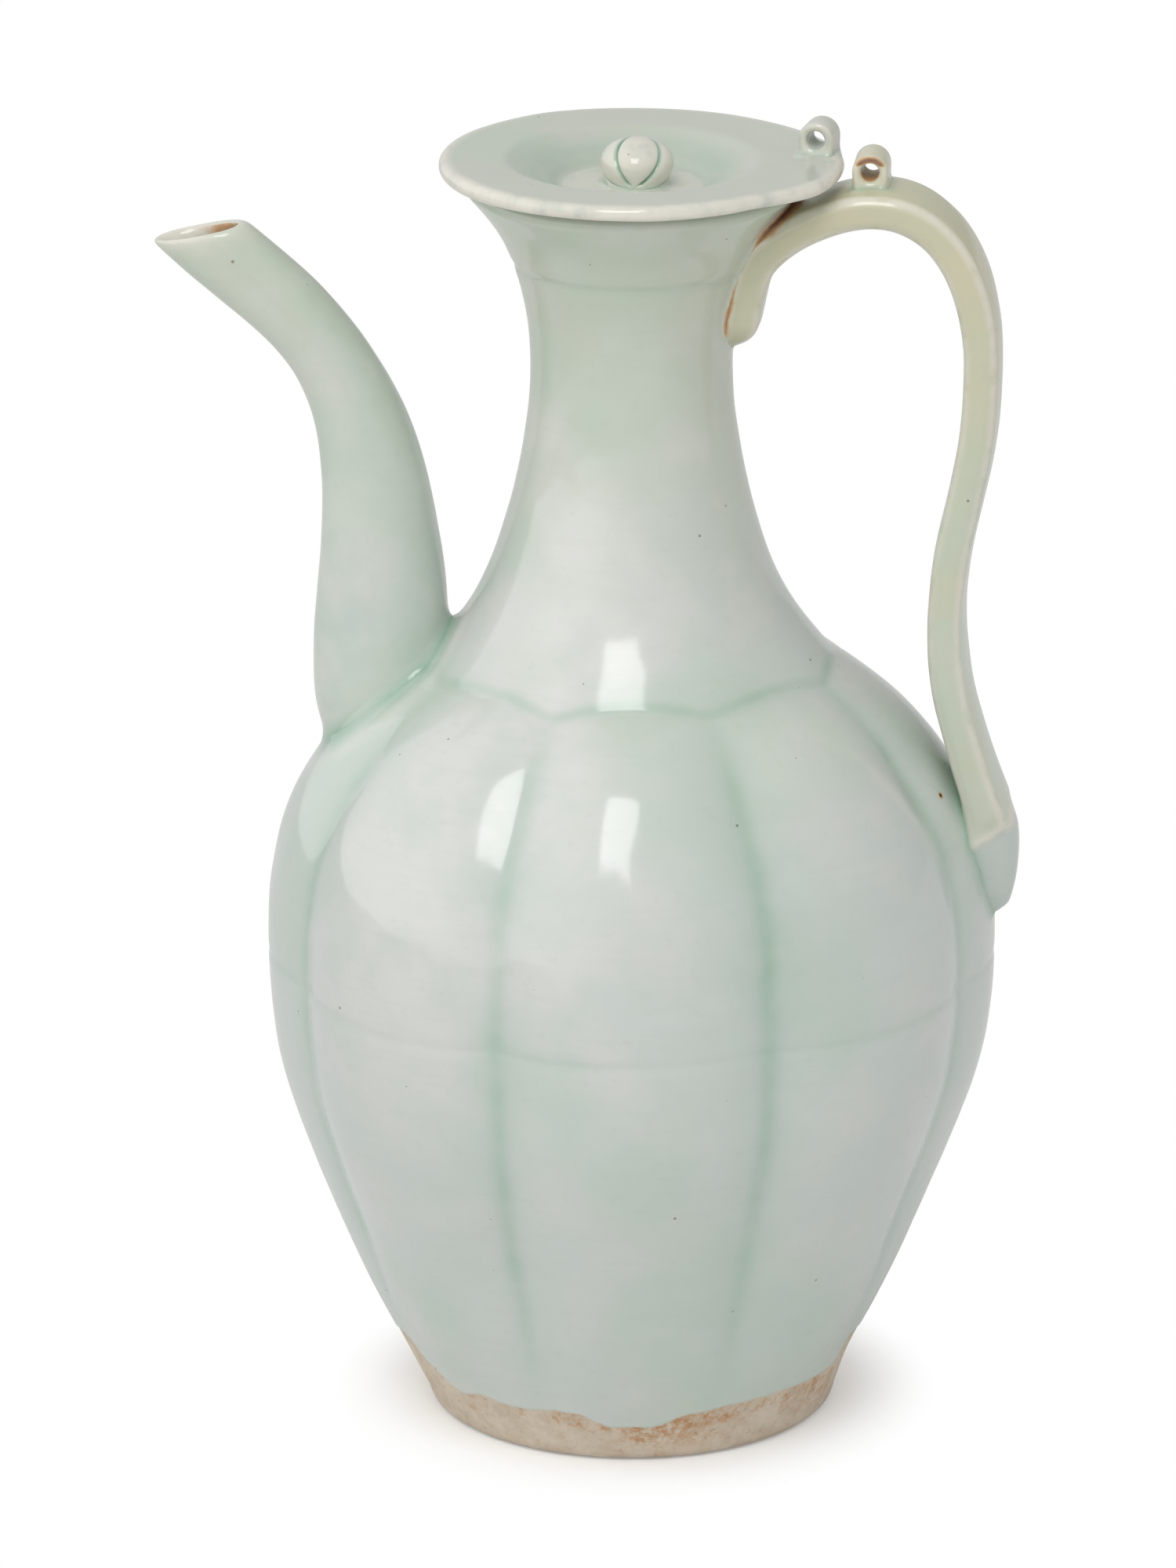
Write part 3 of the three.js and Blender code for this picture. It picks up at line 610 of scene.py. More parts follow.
low_rows = spaced(0, seam, STEP, [(crest.to_height(12.5), 6.5), (seam, 2)])
high_rows = spaced(seam, ring.mean(), STEP, [(seam, 2), (ring.mean(), 3)])
neck_rows = spaced(start.mean(), neck_end, STEP, [
    (start.mean(), 3), (neck_line.to_height(LINE_HEIGHT), 2), (neck_end, 2),
])
share = (high_rows - seam) / (ring.mean() - seam)
high_grid = high_rows[:, None] + (ring - ring.mean()) * share[:, None] ** 4
share = (neck_end - neck_rows) / (neck_end - start.mean())
neck_grid = neck_rows[:, None] + (start - start.mean()) * share[:, None] ** 4
low_grid = np.repeat(low_rows[:, None], COLUMNS, 1)

foot_shares = [(0.0, 0.0), (0.36, 0.06), (0.68, 0.3), (0.9, 0.66)]
foot = np.array([
    (lerp(FOOT_RADIUS, FOOT_EDGE_RADIUS, out), FOOT_EDGE_HEIGHT * rise) for out, rise in foot_shares
])
outer = np.concatenate([
    np.repeat(foot[:, None], COLUMNS, 1),
    body_at(low_grid),
    body_at(high_grid)[1:],
    neck_line.at(neck_grid)[1:],
])
seam_row = len(foot) + len(low_rows) - 1
ring_row = seam_row + len(high_rows) - 1


def turned(rows):
    """(radius, height) rows as points in space."""
    radius, height = rows[..., 0], rows[..., 1]
    return np.stack([radius * np.cos(turn), radius * np.sin(turn), height], -1)


def leaned(points):
    """The lower body stands a little to the left, as if it had settled in the kiln."""
    height = points[..., 2]
    amount = smoothstep(height, 0, LEAN_LOW) * (1 - smoothstep(height, LEAN_HIGH / 2, LEAN_HIGH))
    right = np.array([math.cos(CAMERA_AZIMUTH), math.sin(CAMERA_AZIMUTH), 0])
    return points - LEAN * amount[..., None] * right


rows = turned(outer)
from_ring = np.arange(len(rows)) - ring_row
rows = softened(rows, 0.9 * bell(from_ring, 3.2), 5)
height = rows[..., 2]
side = np.degrees((turn - TO_CAMERA + math.pi) % FULL_TURN - math.pi)
edge = np.interp(side, EDGE_ANGLES, EDGE_HEIGHTS) + 0.35 * ripple(turned(np.c_[
    np.full(COLUMNS, FOOT_EDGE_RADIUS), np.zeros(COLUMNS)]), 9, 3)
on_body = (from_ring <= 0)[:, None]
relief = (
    GLAZE_STEP * smoothstep(height - edge, -0.4, 0.4)
    - SEAM_LINE_DEPTH * bell(height - SEAM_HEIGHT, SEAM_LINE_HALF_WIDTH)
    - LINE_DEPTH * bell(height - LINE_HEIGHT, LINE_HALF_WIDTH) * ~on_body
    + 0.10 * ripple(rows, 34, 1) * smoothstep(height, 0, 10)
    + 0.022 * ripple(rows, 9, 2)
    - GLAZE_STEP
)
rows = rows + normals_of(rows) * relief[..., None]
vessel = leaned(rows)
vessel_tree = tree_of(vessel)


# Spout and handle: sections square to a path in their common plane
def swept(line, section):
    """Rows of points. line holds x, z and the section's sizes at each step."""
    return np.stack([
        np.stack([x + wz * across, over, z - wx * across], -1)
        for (x, z, *sizes), (wx, wz) in zip(line, ways_of(line))
        for across, over in [section(*sizes)]
    ])


def oval(half, half_across, squareness=2.35):
    angle = np.arange(TUBE_COLUMNS) * FULL_TURN / TUBE_COLUMNS
    x, y = np.cos(angle), np.sin(angle)
    power = 2 / squareness
    return half * np.sign(x) * np.abs(x) ** power, half_across * np.sign(y) * np.abs(y) ** power


def spout_line(wall):
    return fair(catmull([
        (
            -lerp(SPOUT_ROOT_OUT, SPOUT_END_OUT, out),
            lerp(SPOUT_ROOT_HEIGHT, SPOUT_END_HEIGHT, rise),
            lerp(SPOUT_TIP_HALF, SPOUT_ROOT_HALF, half) - wall,
            lerp(SPOUT_TIP_HALF_ACROSS, SPOUT_ROOT_HALF_ACROSS, across) - wall,
        )
        for out, rise, half, across in SPOUT_SHARES
    ]), STEP / 2, SPOUT_FAIRNESS)


def crossing(values, rising=True):
    """The fractional row at which each column first, or last, passes nought."""
    above = values >= 0
    first = np.argmax(above, 0) if rising else len(above) - np.argmax(~above[::-1], 0)
    first = np.clip(first, 1, len(values) - 1)
    column = np.arange(values.shape[1])
    low, high = values[first - 1, column], values[first, column]
    return first - 1 + low / (low - high)


def trimmed(rows, first, last, shares):
    """Each column from its first to its last row, taken again at these shares of its length."""
    made = np.empty((len(shares), *rows.shape[1:]))
    number = np.arange(len(rows))
    for column in range(rows.shape[1]):
        length = travelled(rows[:, column], 3)
        low, high = (np.interp(place[column], number, length) for place in (first, last))
        made[:, column] = read_at(lerp(low, high, shares), length, rows[:, column])
    return made


def graded(length, fine, coarse, reach=8.0):
    """Shares of a length whose steps grow from fine at both ends to coarse."""
    place = np.linspace(0, length, 2000)
    near = np.maximum(np.exp(-place / reach), np.exp(-(length - place) / reach))
    density = 1 / lerp(coarse, fine, near)
    total = np.cumsum(density) * (place[1] - place[0])
    count = int(total[-1]) + 1
    return np.interp(np.linspace(total[0], total[-1], count), total, place / length)


tip = np.array([-SPOUT_CUT_OUT, 0, SPOUT_CUT_HEIGHT])
tip_up = np.array([-math.sin(SPOUT_CUT_TILT), 0, math.cos(SPOUT_CUT_TILT)])
spout_outer = swept(spout_line(0), oval)
spout_inner = swept(spout_line(SPOUT_WALL), oval)
spout_tree = tree_of(spout_outer)
near_root = spout_outer[:, :, 2] < SHOULDER_TOP_HEIGHT + 2 * SPOUT_ROOT_HALF
gap = np.where(near_root, clearance(vessel_tree, spout_outer, 40), 40)
root = crossing(gap + 1.3, rising=False)
tips = [crossing((tube - tip) @ tip_up) for tube in (spout_outer, spout_inner)]
shares = graded(118, 0.4, 1.0)
spout = trimmed(spout_outer, root, tips[0], shares)
bore = trimmed(spout_inner, root, tips[1], shares[::2])[::-1]
lip_shares = np.linspace(0, 1, 6)[1:-1, None, None]
shell = np.concatenate([spout, lerp(spout[-1], bore[0], lip_shares), bore])
from_lip = np.abs(np.arange(len(shell)) - len(spout) - 1.5)
shell = softened(shell, np.where(from_lip < 11, 0.9, 0), 7)
shell += normals_of(shell) * (0.07 * ripple(shell, 22, 5) + 0.02 * ripple(shell, 8, 6))[..., None]
shell[:len(spout)], spout_gap = filleted(shell[:len(spout)], vessel_tree, SPOUT_FILLET)


def rounded(half_x, half_y, edge, corner_count, side_counts=(0, 0)):
    """A rounded rectangle, going round, with so many points in each corner and on each side."""
    corner = np.linspace(0, math.pi / 2, corner_count)
    x, y = [], []
    for quarter, (sign_x, sign_y) in enumerate([(1, 1), (-1, 1), (-1, -1), (1, -1)]):
        angle = corner + quarter * math.pi / 2
        middle_x, middle_y = sign_x * (half_x - edge), sign_y * (half_y - edge)
        x.append(middle_x + edge * np.cos(angle))
        y.append(middle_y + edge * np.sin(angle))
        upright = quarter % 2
        share = np.linspace(0, 1, side_counts[upright] + 2)[1:-1]
        if upright:
            x.append(np.full(len(share), sign_x * half_x))
            y.append(lerp(middle_y, -middle_y, share))
        else:
            x.append(lerp(middle_x, -middle_x, share))
            y.append(np.full(len(share), sign_y * half_y))
    return np.concatenate(x), np.concatenate(y)


def strap(thickness, width, leaf=0.0, upper=1.0, lower=1.0, narrow=1.0):
    """A flat bar with rounded edges and crowned faces, which turns into a leaf and rounded ends.

    Its outer face lies at negative distances across. A leaf is domed and its edges lie on the
    body. The last shares are how much of its thickness and width is left near either end.
    """
    x, y = thickness / 2, width / 2
    across, over = rounded(x, y, min(HANDLE_EDGE_RADIUS, 0.8 * x, 0.8 * y), 8, (5, 26))
    share_across, share_over = across / x, over / y
    crown = HANDLE_CROWN * min(1, thickness / HANDLE_THICKNESS)
    across = across - crown * (1 - share_over**2) * np.where(share_across < 0, 1, -0.4)
    over = over + 0.35 * crown * np.sign(over) * (1 - share_across**2) * (np.abs(share_over) > 0.9)
    rise, side = (1 - share_across) / 2, share_over
    power = LEAF_SQUARENESS
    dome = np.maximum(np.abs(rise) ** power + np.abs(side) ** power, 1e-6) ** (-1 / power)
    dome = lerp(1, dome, smoothstep(rise, 0, 0.2))
    bend = over**2 / (2 * LEAF_BEND)
    across = lerp(across, x - (2 * x + LEAF_RISE) * rise * dome + bend, leaf)
    over = lerp(over, y * side * dome, leaf)
    across = -x + upper * (across + x)
    across = x + lower * (across - x)
    return across, over * narrow


def lap(outline, top, length, shares):
    made = []
    for share, lift, thickness, width in shares:
        level = top - share * length
        made.append((
            outline.radius(level) + lift * HANDLE_THICKNESS, level,
            thickness * HANDLE_THICKNESS, width * HANDLE_WIDTH,
        ))
    return made


handle_points = [
    *lap(neck_line, MOUTH_HEIGHT - UPPER_LAP_DROP, UPPER_LAP_LENGTH, UPPER_LAP_SHARES),
    *(
        (
            HANDLE_REACH * reach, lerp(LOWER_LAP_HEIGHT, MOUTH_HEIGHT - HANDLE_TOP_DROP, rise),
            HANDLE_THICKNESS, HANDLE_WIDTH,
        )
        for reach, rise in HANDLE_RUN_SHARES
    ),
    *lap(crest, LOWER_LAP_HEIGHT, LOWER_LAP_LENGTH, LOWER_LAP_SHARES),
]
handle_line = fair(catmull(handle_points), 0.8 * STEP, HANDLE_FAIRNESS)
length = travelled(handle_line)
to_end = length[-1] - length
near_end = np.arange(len(length)) > len(length) / 2


def round_end(distance, reach):
    """The share of a half-round end's size that is left this far from its tip."""
    return np.sqrt(np.clip(1 - (1 - np.clip(distance / reach, 0.01, 1)) ** 2, 0, 1))


leaf = smoothstep(-handle_line[:, 1], -LEAF_TOP, LEAF_DEPTH - LEAF_TOP) * near_end
handle_line = np.c_[
    handle_line, leaf, round_end(length, TONGUE_ROUND), round_end(to_end, LEAF_ROUND),
    round_end(length, TONGUE_TAPER) * round_end(to_end, LEAF_TAPER),
]


def above_tear(points):
    """How far each point lies above the slanting, uneven edge between strap and leaf."""
    slope = TEAR_SLANT * (points[..., 0] - BELLY_RADIUS)
    return points[..., 2] - TEAR_HEIGHT - slope - 0.5 * ripple(points, 4, 14)


handle = swept(handle_line, strap)
flat_across, flat_over = np.abs(strap(HANDLE_THICKNESS, HANDLE_WIDTH))
on_sides = smoothstep(flat_over, HANDLE_WIDTH / 2 - 2.5, HANDLE_WIDTH / 2 - 0.5)
torn = TEAR_RELIEF * on_sides * bell(above_tear(handle) - 0.7, 1.1)
torn = torn * (handle[..., 2] < WAIST_HEIGHT)
handle += normals_of(handle) * (
    0.08 * ripple(handle, 20, 7) + 0.02 * ripple(handle, 7, 8) + torn
)[..., None]
handle_tree = tree_of(handle)
handle, _ = filleted(handle, vessel_tree, HANDLE_FILLET)
handle_gap = clearance(vessel_tree, handle, 6)

# The vessel rises a little to meet both
vessel, _ = filleted(vessel, spout_tree, SPOUT_FILLET)
vessel, _ = filleted(vessel, handle_tree, HANDLE_FILLET)


def loop(length, foot_depth, centre, twist):
    """A cord loop: a short thick tube with a foot that sinks into what carries it."""
    rows = []
    for angle in np.linspace(0, FULL_TURN, 97)[:-1]:
        x, z = math.cos(angle), math.sin(angle)
        depth = foot_depth if z < 0 else LOOP_RADIUS
        power = LOOP_FOOT_SQUARENESS if z < 0 else 2
        far = (abs(x / LOOP_RADIUS) ** power + abs(z / depth) ** power) ** (-1 / power)
        radial = far - LOOP_HOLE_RADIUS
        out, along = rounded(radial / 2, length / 2, min(LOOP_EDGE_RADIUS, 0.48 * radial), 9)
        reach = LOOP_HOLE_RADIUS + radial / 2 + out
        rows.append(np.stack([reach * x, along, reach * z], -1))
    rows = np.array(rows)
    cosine, sine = math.cos(twist), math.sin(twist)
    x, y, z = np.moveaxis(rows, -1, 0)
    return np.stack([cosine * x - sine * y, sine * x + cosine * y, z], -1) + np.array(centre)


strap_top = MOUTH_HEIGHT - HANDLE_TOP_DROP + HANDLE_THICKNESS / 2 + HANDLE_CROWN
handle_loop_centre = (HANDLE_LOOP_OUT, 0, strap_top + HANDLE_LOOP_RISE)
handle_loop = loop(HANDLE_LOOP_LENGTH, HANDLE_LOOP_RISE + 1.2, handle_loop_centre, 0)
handle_loop, handle_loop_gap, handle, handle_loop_near = set_on(
    handle_loop, handle, handle_tree, LOOP_FILLET, wrap=True,
)

# Lid
lid_seat = MOUTH_HEIGHT + SEAM_GAP
lid_top = LID_EDGE_LIFT + LID_EDGE_THICKNESS


def lid_edge(angle):
    away = angle - TONGUE_ANGLE
    off = (away + math.pi) % FULL_TURN - math.pi
    width = np.where(off < 0, TONGUE_FRONT_SPREAD, TONGUE_BACK_SPREAD)
    return LID_RADIUS + TONGUE_REACH * (1 - smoothstep(np.abs(off), TONGUE_FLAT, width))


def lid_rows():
    """The lid's outline for each direction: the top from the middle out, then the underside."""
    half = LID_EDGE_THICKNESS / 2
    floor = lid_top - WELL_DEPTH
    under = floor - WELL_FLOOR
    flange_end, flange_inside = under - FLANGE_LENGTH, FLANGE_RADIUS - FLANGE_WALL
    arc = np.linspace(math.pi / 2, -math.pi / 2, 9)
    made = []
    for radius in lid_edge(turn):
        top = [
            (0.5, floor), (WELL_RADIUS - WELL_FILLET, floor),
            (WELL_RADIUS, floor + 0.1 * WELL_FILLET),
            (WELL_RADIUS + WELL_FILLET, floor + WELL_FILLET),
            (WELL_RADIUS + WELL_SLOPE_WIDTH, lid_top - WELL_FILLET),
            (BRINK_RADIUS, lid_top - BRINK_DROP), (radius - 2 * half, lid_top - 0.06),
        ]
        out, up = radius - half, lid_top - half
        rim = [(out + half * math.cos(a), up + half * math.sin(a)) for a in arc]
        below = [
            (LID_SEAT_RADIUS, 0), (LID_SEAT_INNER_RADIUS, 0), (FLANGE_RADIUS + 0.6, floor + 0.4),
            (FLANGE_RADIUS, floor - 0.6), (FLANGE_RADIUS, flange_end),
            (flange_inside, flange_end), (flange_inside, under), (0.5, under),
        ]
        line = np.array(top + rim + below)
        length = travelled(line)
        even = np.linspace(0, length[-1], 1200)
        line = read_at(even, length, line)
        crisp = rounded_off(line, even[1], LID_SOFTNESS)
        soft = rounded_off(line, even[1], WELL_SOFTNESS)
        in_well = np.arange(len(line)) < np.argmax(line[:, 0])
        share = 1 - smoothstep(line[:, 0], BRINK_RADIUS - 2, BRINK_RADIUS + 5)
        made.append(lerp(crisp, soft, (share * in_well)[:, None])[::5])
    return np.array(made).swapaxes(0, 1)


lid = turned(lid_rows())
lid[..., 2] += lid_seat
lid = lid[::-1]
lid += normals_of(lid) * (0.08 * ripple(lid, 24, 9) + 0.015 * ripple(lid, 7, 10))[..., None]
lid_tree = tree_of(lid)

# Knob: a bud whose grooves meet low on its front
knob_centre = np.array([KNOB_OFFSET, 0, lid_seat + lid_top - WELL_DEPTH + KNOB_RISE])


def knob_rows():
    polar = np.linspace(0.02, math.pi - 0.02, 72)[:, None]
    around = np.arange(144)[None, :] * FULL_TURN / 144
    x, y, z = (
        np.sin(polar) * np.cos(around), np.cos(polar) + 0 * around, -np.sin(polar) * np.sin(around),
    )
    angle = np.arctan2(z, x) + KNOB_TURN
    lobe = angle * KNOB_LOBES / FULL_TURN + 0.5 + KNOB_UNEVENNESS * np.cos(angle)
    away = 2 * np.abs(lobe - np.round(lobe))
    girth = np.hypot(x, z)
    hollow = away**KNOB_GROOVE_SHARPNESS * girth * KNOB_GROOVE_DEPTH
    line = (1 - away) * girth * KNOB_RADIUS * math.pi / KNOB_LOBES
    cut = 0.3 * bell(line, 0.28) * smoothstep(girth, 0.08, 0.3)
    rows = np.stack([x, y, z], -1) * (1 - (hollow + cut) / KNOB_RADIUS)[..., None]
    cosine, sine = math.cos(KNOB_TILT), math.sin(KNOB_TILT)
    rows = np.stack([
        rows[..., 0], cosine * rows[..., 1] - sine * rows[..., 2],
        sine * rows[..., 1] + cosine * rows[..., 2],
    ], -1)
    low = np.clip(-rows[..., 2], 0, 0.93)
    wide = np.sqrt(1 - (0.72 * low) ** 2) / np.sqrt(1 - low**2)
    rows[..., :2] *= wide[..., None]
    rows *= np.array([KNOB_RADIUS, KNOB_RADIUS, KNOB_HALF_HEIGHT])
    in_cut = bell(line, 0.34) * smoothstep(girth, 0.05, 0.3)
    return rows[::-1] + knob_centre, in_cut[::-1]


knob, knob_lines = knob_rows()
knob, knob_gap, lid, knob_near = set_on(knob, lid, lid_tree, KNOB_FILLET)

loop_place = np.array([math.cos(LID_LOOP_ANGLE), math.sin(LID_LOOP_ANGLE), 0]) * LID_LOOP_OUT
loop_place[2] = lid_seat + lid_top + LID_LOOP_RISE
lid_loop = loop(LID_LOOP_LENGTH, LID_LOOP_RISE + 1.2, loop_place, LID_LOOP_TWIST)
lid_loop, lid_loop_gap, lid, _ = set_on(lid_loop, lid, lid_tree, LOOP_FILLET, wrap=True)

# Materials
pinhole = vessel_tree.find_nearest(Vector(PINHOLE))[0] * MM
body_glaze = glaze(
    "body_glaze", srgb(205, 212, 206), srgb(203, 208, 192), srgb(217, 216, 211), 0.11, 0.0, pinhole,
)
handle_glaze = glaze(
    "handle_glaze", srgb(206, 210, 192), srgb(204, 201, 172), srgb(212, 204, 172), 0.16, 1.0,
)
lid_glaze = glaze(
    "lid_glaze", srgb(201, 207, 196), srgb(198, 203, 191), srgb(206, 206, 197), 0.15, 2.0,
)


def rust_reach(height):
    """How far rust spreads from the line between strap and neck: a streak low, a patch high."""
    streak = lerp(1.2, 0.6, smoothstep(height, 210, 217))
    return lerp(streak, 2.2, smoothstep(height, 221, 226))


# Glaze thickness over the vessel
height = vessel[..., 2]
from_groove = (1 - off_crest) * math.pi / LOBE_COUNT * np.hypot(vessel[..., 0], vessel[..., 1])
groove_pool = 0.42 * bell(from_groove, 1.9) + 0.16 * bell(from_groove, 6)
groove_pool = groove_pool * np.clip(groove_depth(height) / LOBE_DEPTH, 0, 1) * on_body
ring_pool = 0.4 * bell(from_ring[:, None] - 3, 3.5) + 0.12 * bell(from_ring[:, None] - 3, 9)
seam_pool = 0.3 * bell(height - SEAM_HEIGHT, 1.2) * smoothstep(ripple(vessel, 60, 11), -0.9, 0.7)
line_pool = 0.2 * bell(height - LINE_HEIGHT, 1.1) * ~on_body
strap_near = np.maximum(clearance(handle_tree, vessel, 6), 0)
root_near = np.maximum(clearance(spout_tree, vessel, 16), 0)
join_pool = np.maximum(1.25 * bell(root_near, 2.5), 1.1 * bell(strap_near, 1.7) * on_body)
# The lines fade out beside the spout's root
fading = lerp(0.25, 1, smoothstep(root_near, 2, 15))
pool_and_shade = np.max(np.broadcast_arrays(
    groove_pool * fading, ring_pool * fading, seam_pool, line_pool, join_pool,
), 0)


def patch(angle, wide, level, tall, share):
    return share * bell(side - angle, wide) * bell(height - level, tall)


# Milky glaze, whose patches also hold painted reflection and painted light, and rust where the
# strap leans on the neck
pool_and_shade = pool_and_shade + patch(*GREEN_PATCH)
milky_and_light = np.max([patch(*values) for values in MILKY_AND_LIT_PATCHES] + [0.9 * bell(root_near - 4.5, 2.2)], 0)
strap_rust = bell(strap_near / rust_reach(height), 1.0) * smoothstep(height, *RUST_HEIGHTS)
vessel_layers = layers_of(
    vessel.shape, pool_and_shade=pool_and_shade, milky_and_light=milky_and_light, rust=strap_rust, shore=height - edge,
)


def part_of(rows, after, before=0):
    """The layers of some rows of the vessel, with bare clay before them and glaze after them."""
    made = {}
    for key, layer in vessel_layers.items():
        bare, glazed = (BARE, GLAZED) if key == "shore" else (0.0, 0.0)
        made[key] = np.concatenate([
            np.full((before, COLUMNS), bare), layer[rows], np.full((after, COLUMNS), glazed),
        ])
    return made


def inside_body(top, bottom):
    """Rows of the inner wall, down from one length along the crest line to another."""
    top, bottom = np.broadcast_to(top, COLUMNS), np.broadcast_to(bottom, COLUMNS)
    grid = np.linspace(top, bottom, int((top.mean() - bottom.mean()) / INNER_STEP))
    return leaned(turned(body_at(grid, -BODY_WALL)))


# Lower half of the body
inner_low = inside_body(seam, crest.to_height(BASE_THICKNESS))
bottom = np.array([vessel[0] * (s, s, 0) for s in (0.02, 0.3, 0.6, 0.85, 0.97)])
floor_rows = np.array([inner_low[-1] * (s, s, 1) for s in (0.9, 0.6, 0.3, 0.02)])
floor_rows[..., 2] = BASE_THICKNESS
rows = np.concatenate([bottom, vessel[:seam_row + 1], inner_low, floor_rows])
layers = part_of(slice(0, seam_row + 1), len(inner_low) + len(floor_rows), len(bottom))
top = len(bottom) + seam_row
piece("body_lower_glazed", rows, "ewer", "body_lower", body_glaze, layers,
      sharp=(top, top + 1))

# Upper half of the body
inner_high = inside_body(ring, seam)
rows = np.concatenate([vessel[seam_row:ring_row + 1], inner_high])
layers = part_of(slice(seam_row, ring_row + 1), len(inner_high))
last = ring_row - seam_row
piece("body_upper_glazed", rows, "ewer", "body_upper", body_glaze, layers, wrap=True,
      sharp=(0, last, last + 1, len(rows) - 1))

# Neck
inner_count = int((neck_end - start.mean()) / NECK_INNER_STEP)
inner_grid = np.linspace(np.full(COLUMNS, neck_end), start + BODY_WALL, inner_count)
neck_inner = turned(neck_line.at(inner_grid, -NECK_WALL))
outer_lip, inner_lip = vessel[-1], neck_inner[0]
middle, arm = (outer_lip + inner_lip) / 2, (outer_lip - inner_lip) / 2
tangent = vessel[-1] - vessel[-2]
tangent /= np.linalg.norm(tangent, axis=-1)[:, None]
lip_rows = np.array([
    middle + arm * math.cos(a) + tangent * half_wall * math.sin(a)
    for a in np.linspace(0, math.pi, 12)[1:-1]
])
rows = np.concatenate([vessel[ring_row:], lip_rows, neck_inner, inner_high[:1]])
first_lip = len(vessel) - ring_row
layers = part_of(slice(ring_row, None), len(rows) - first_lip)
layers["thin"][first_lip + len(lip_rows) // 2:first_lip + len(lip_rows)] = 0.6
piece("neck_glazed", rows, "ewer", "neck", body_glaze, layers, wrap=True,
      sharp=(0, len(rows) - 1))

# Spout
shape = shell.shape[:2]
row = np.arange(shape[0])[:, None]
lip_distance = np.abs(row - len(spout) - 1.5)
gap = np.full(shape, 20.0)
gap[:len(spout)] = spout_gap
within = row >= len(spout) + 4
depth_in = np.where(within, row - len(spout) - 4, 0)
angle = np.arange(TUBE_COLUMNS) * FULL_TURN / TUBE_COLUMNS
right_side = smoothstep(np.cos(angle), -0.6, 0.3)[None, :]
facing_left = smoothstep(-np.cos(angle), -0.7, 0.6)[None, :]
# The spout's side towards the room's bright left gets painted light as milky glaze, and its other
# side painted shade as pooled green glaze
spout_layers = layers_of(
    shell.shape,
    pool_and_shade=np.maximum(1.25 * bell(np.maximum(gap, 0), 1.9), 0.3 * (1 - facing_left) * ~within),
    thin=bell(lip_distance, 9),
    rust=0.72 * within * bell(depth_in - 4, 11) * right_side,
    milky_and_light=facing_left * bell(shell[..., 2] - 150, 38) * ~within,
)
piece("spout_glazed", shell, "ewer", "spout", body_glaze, spout_layers, wrap=True,
      sharp=(0, shape[0] - 1))

# Handle
corner = smoothstep(flat_over, HANDLE_WIDTH / 2 - 2, HANDLE_WIDTH / 2 - 0.6)
corner = corner * smoothstep(flat_across, HANDLE_THICKNESS / 2 - 1.6, HANDLE_THICKNESS / 2 - 0.3)
gap = np.maximum(handle_gap, 0)
level = handle[..., 2]
v_groove = bell(gap / rust_reach(level), 1.0)
v_groove = v_groove * smoothstep(level, *RUST_HEIGHTS) * (handle[..., 0] < LID_RADIUS)
# The strap's lower end is torn where the leaf starts
slant = above_tear(handle)
low_half = level < WAIST_HEIGHT
is_leaf = (1 - smoothstep(slant, -1.2, 0.4)) * low_half
loop_pool = bell(np.maximum(handle_loop_near, 0), 1.0)
handle_layers = layers_of(
    handle.shape,
    pool_and_shade=0.8 * np.maximum(bell(gap, 1.2) * low_half, loop_pool),
    thin=np.maximum(0.8 * corner[None, :] * (1 - is_leaf), 0.9 * bell(slant - 0.6, 1.2) * low_half),
    rust=v_groove,
    cool=is_leaf,
)
piece("handle_glazed", handle, "ewer", "handle", handle_glaze, handle_layers)


def loop_layers(rows, gap, centre, stained):
    """Creamy edges and a green foot, and on a stained loop rust in and over the hole."""
    out, along, up = np.moveaxis(rows - centre, -1, 0)
    from_hole = np.hypot(out, up)
    inside = 1 - smoothstep(from_hole, LOOP_HOLE_RADIUS - 0.1, LOOP_HOLE_RADIUS + 0.4)
    above = smoothstep(up, 0.6, 1.6)
    over_hole = 0.95 * bell(from_hole - LOOP_HOLE_RADIUS - 0.8, 0.8) * above
    on_top = 0.62 * bell(along - 3, 0.6) * above
    lower_rim = smoothstep(-up, -0.2, 1.0) * smoothstep(-along, 1, 3.5)
    return layers_of(
        rows.shape,
        pool_and_shade=0.9 * bell(np.maximum(gap, 0), 1.1),
        thin=0.6 * bell(from_hole - LOOP_RADIUS + 0.5, 0.6),
        rust=stained * np.max([inside * lerp(0.5, 0.8, lower_rim), over_hole, on_top], 0),
    )


piece("handle_loop_glazed", handle_loop, "ewer", "handle_loop", handle_glaze,
      loop_layers(handle_loop, handle_loop_gap, handle_loop_centre, 1.0), wrap=True)

# Lid and what it carries
radius = np.hypot(lid[..., 0], lid[..., 1])
level = lid[..., 2] - lid_seat
reach = lid_edge(turn)[None, :]
is_top = (np.arange(len(lid))[:, None] > np.argmax(radius.mean(1)))
slope_pool = is_top * bell(radius - WELL_RADIUS - 2.6, 4.2)
rim = smoothstep(radius - reach, -3.2, -0.6)
# The rim's creamy thin glaze stays strong on its top, where it is partly a painted highlight
lid_layers = layers_of(
    lid.shape,
    pool_and_shade=np.maximum(0.45 * slope_pool, 0.6 * bell(np.maximum(knob_near, 0), 1.0)),
    thin=np.maximum(rim * smoothstep(level, 0.2, 1.0) * (1 - 0.2 * is_top),
                    0.45 * is_top * (radius < WELL_RADIUS - 1)),
    rust=0.35 * bell(level - 0.5, 0.7) * rim,
)
piece("lid_glazed", lid, "lid", "lid", lid_glaze, lid_layers)
knob_pool = np.maximum(1.9 * knob_lines, 0.8 * bell(np.maximum(knob_gap, 0), 1.3))
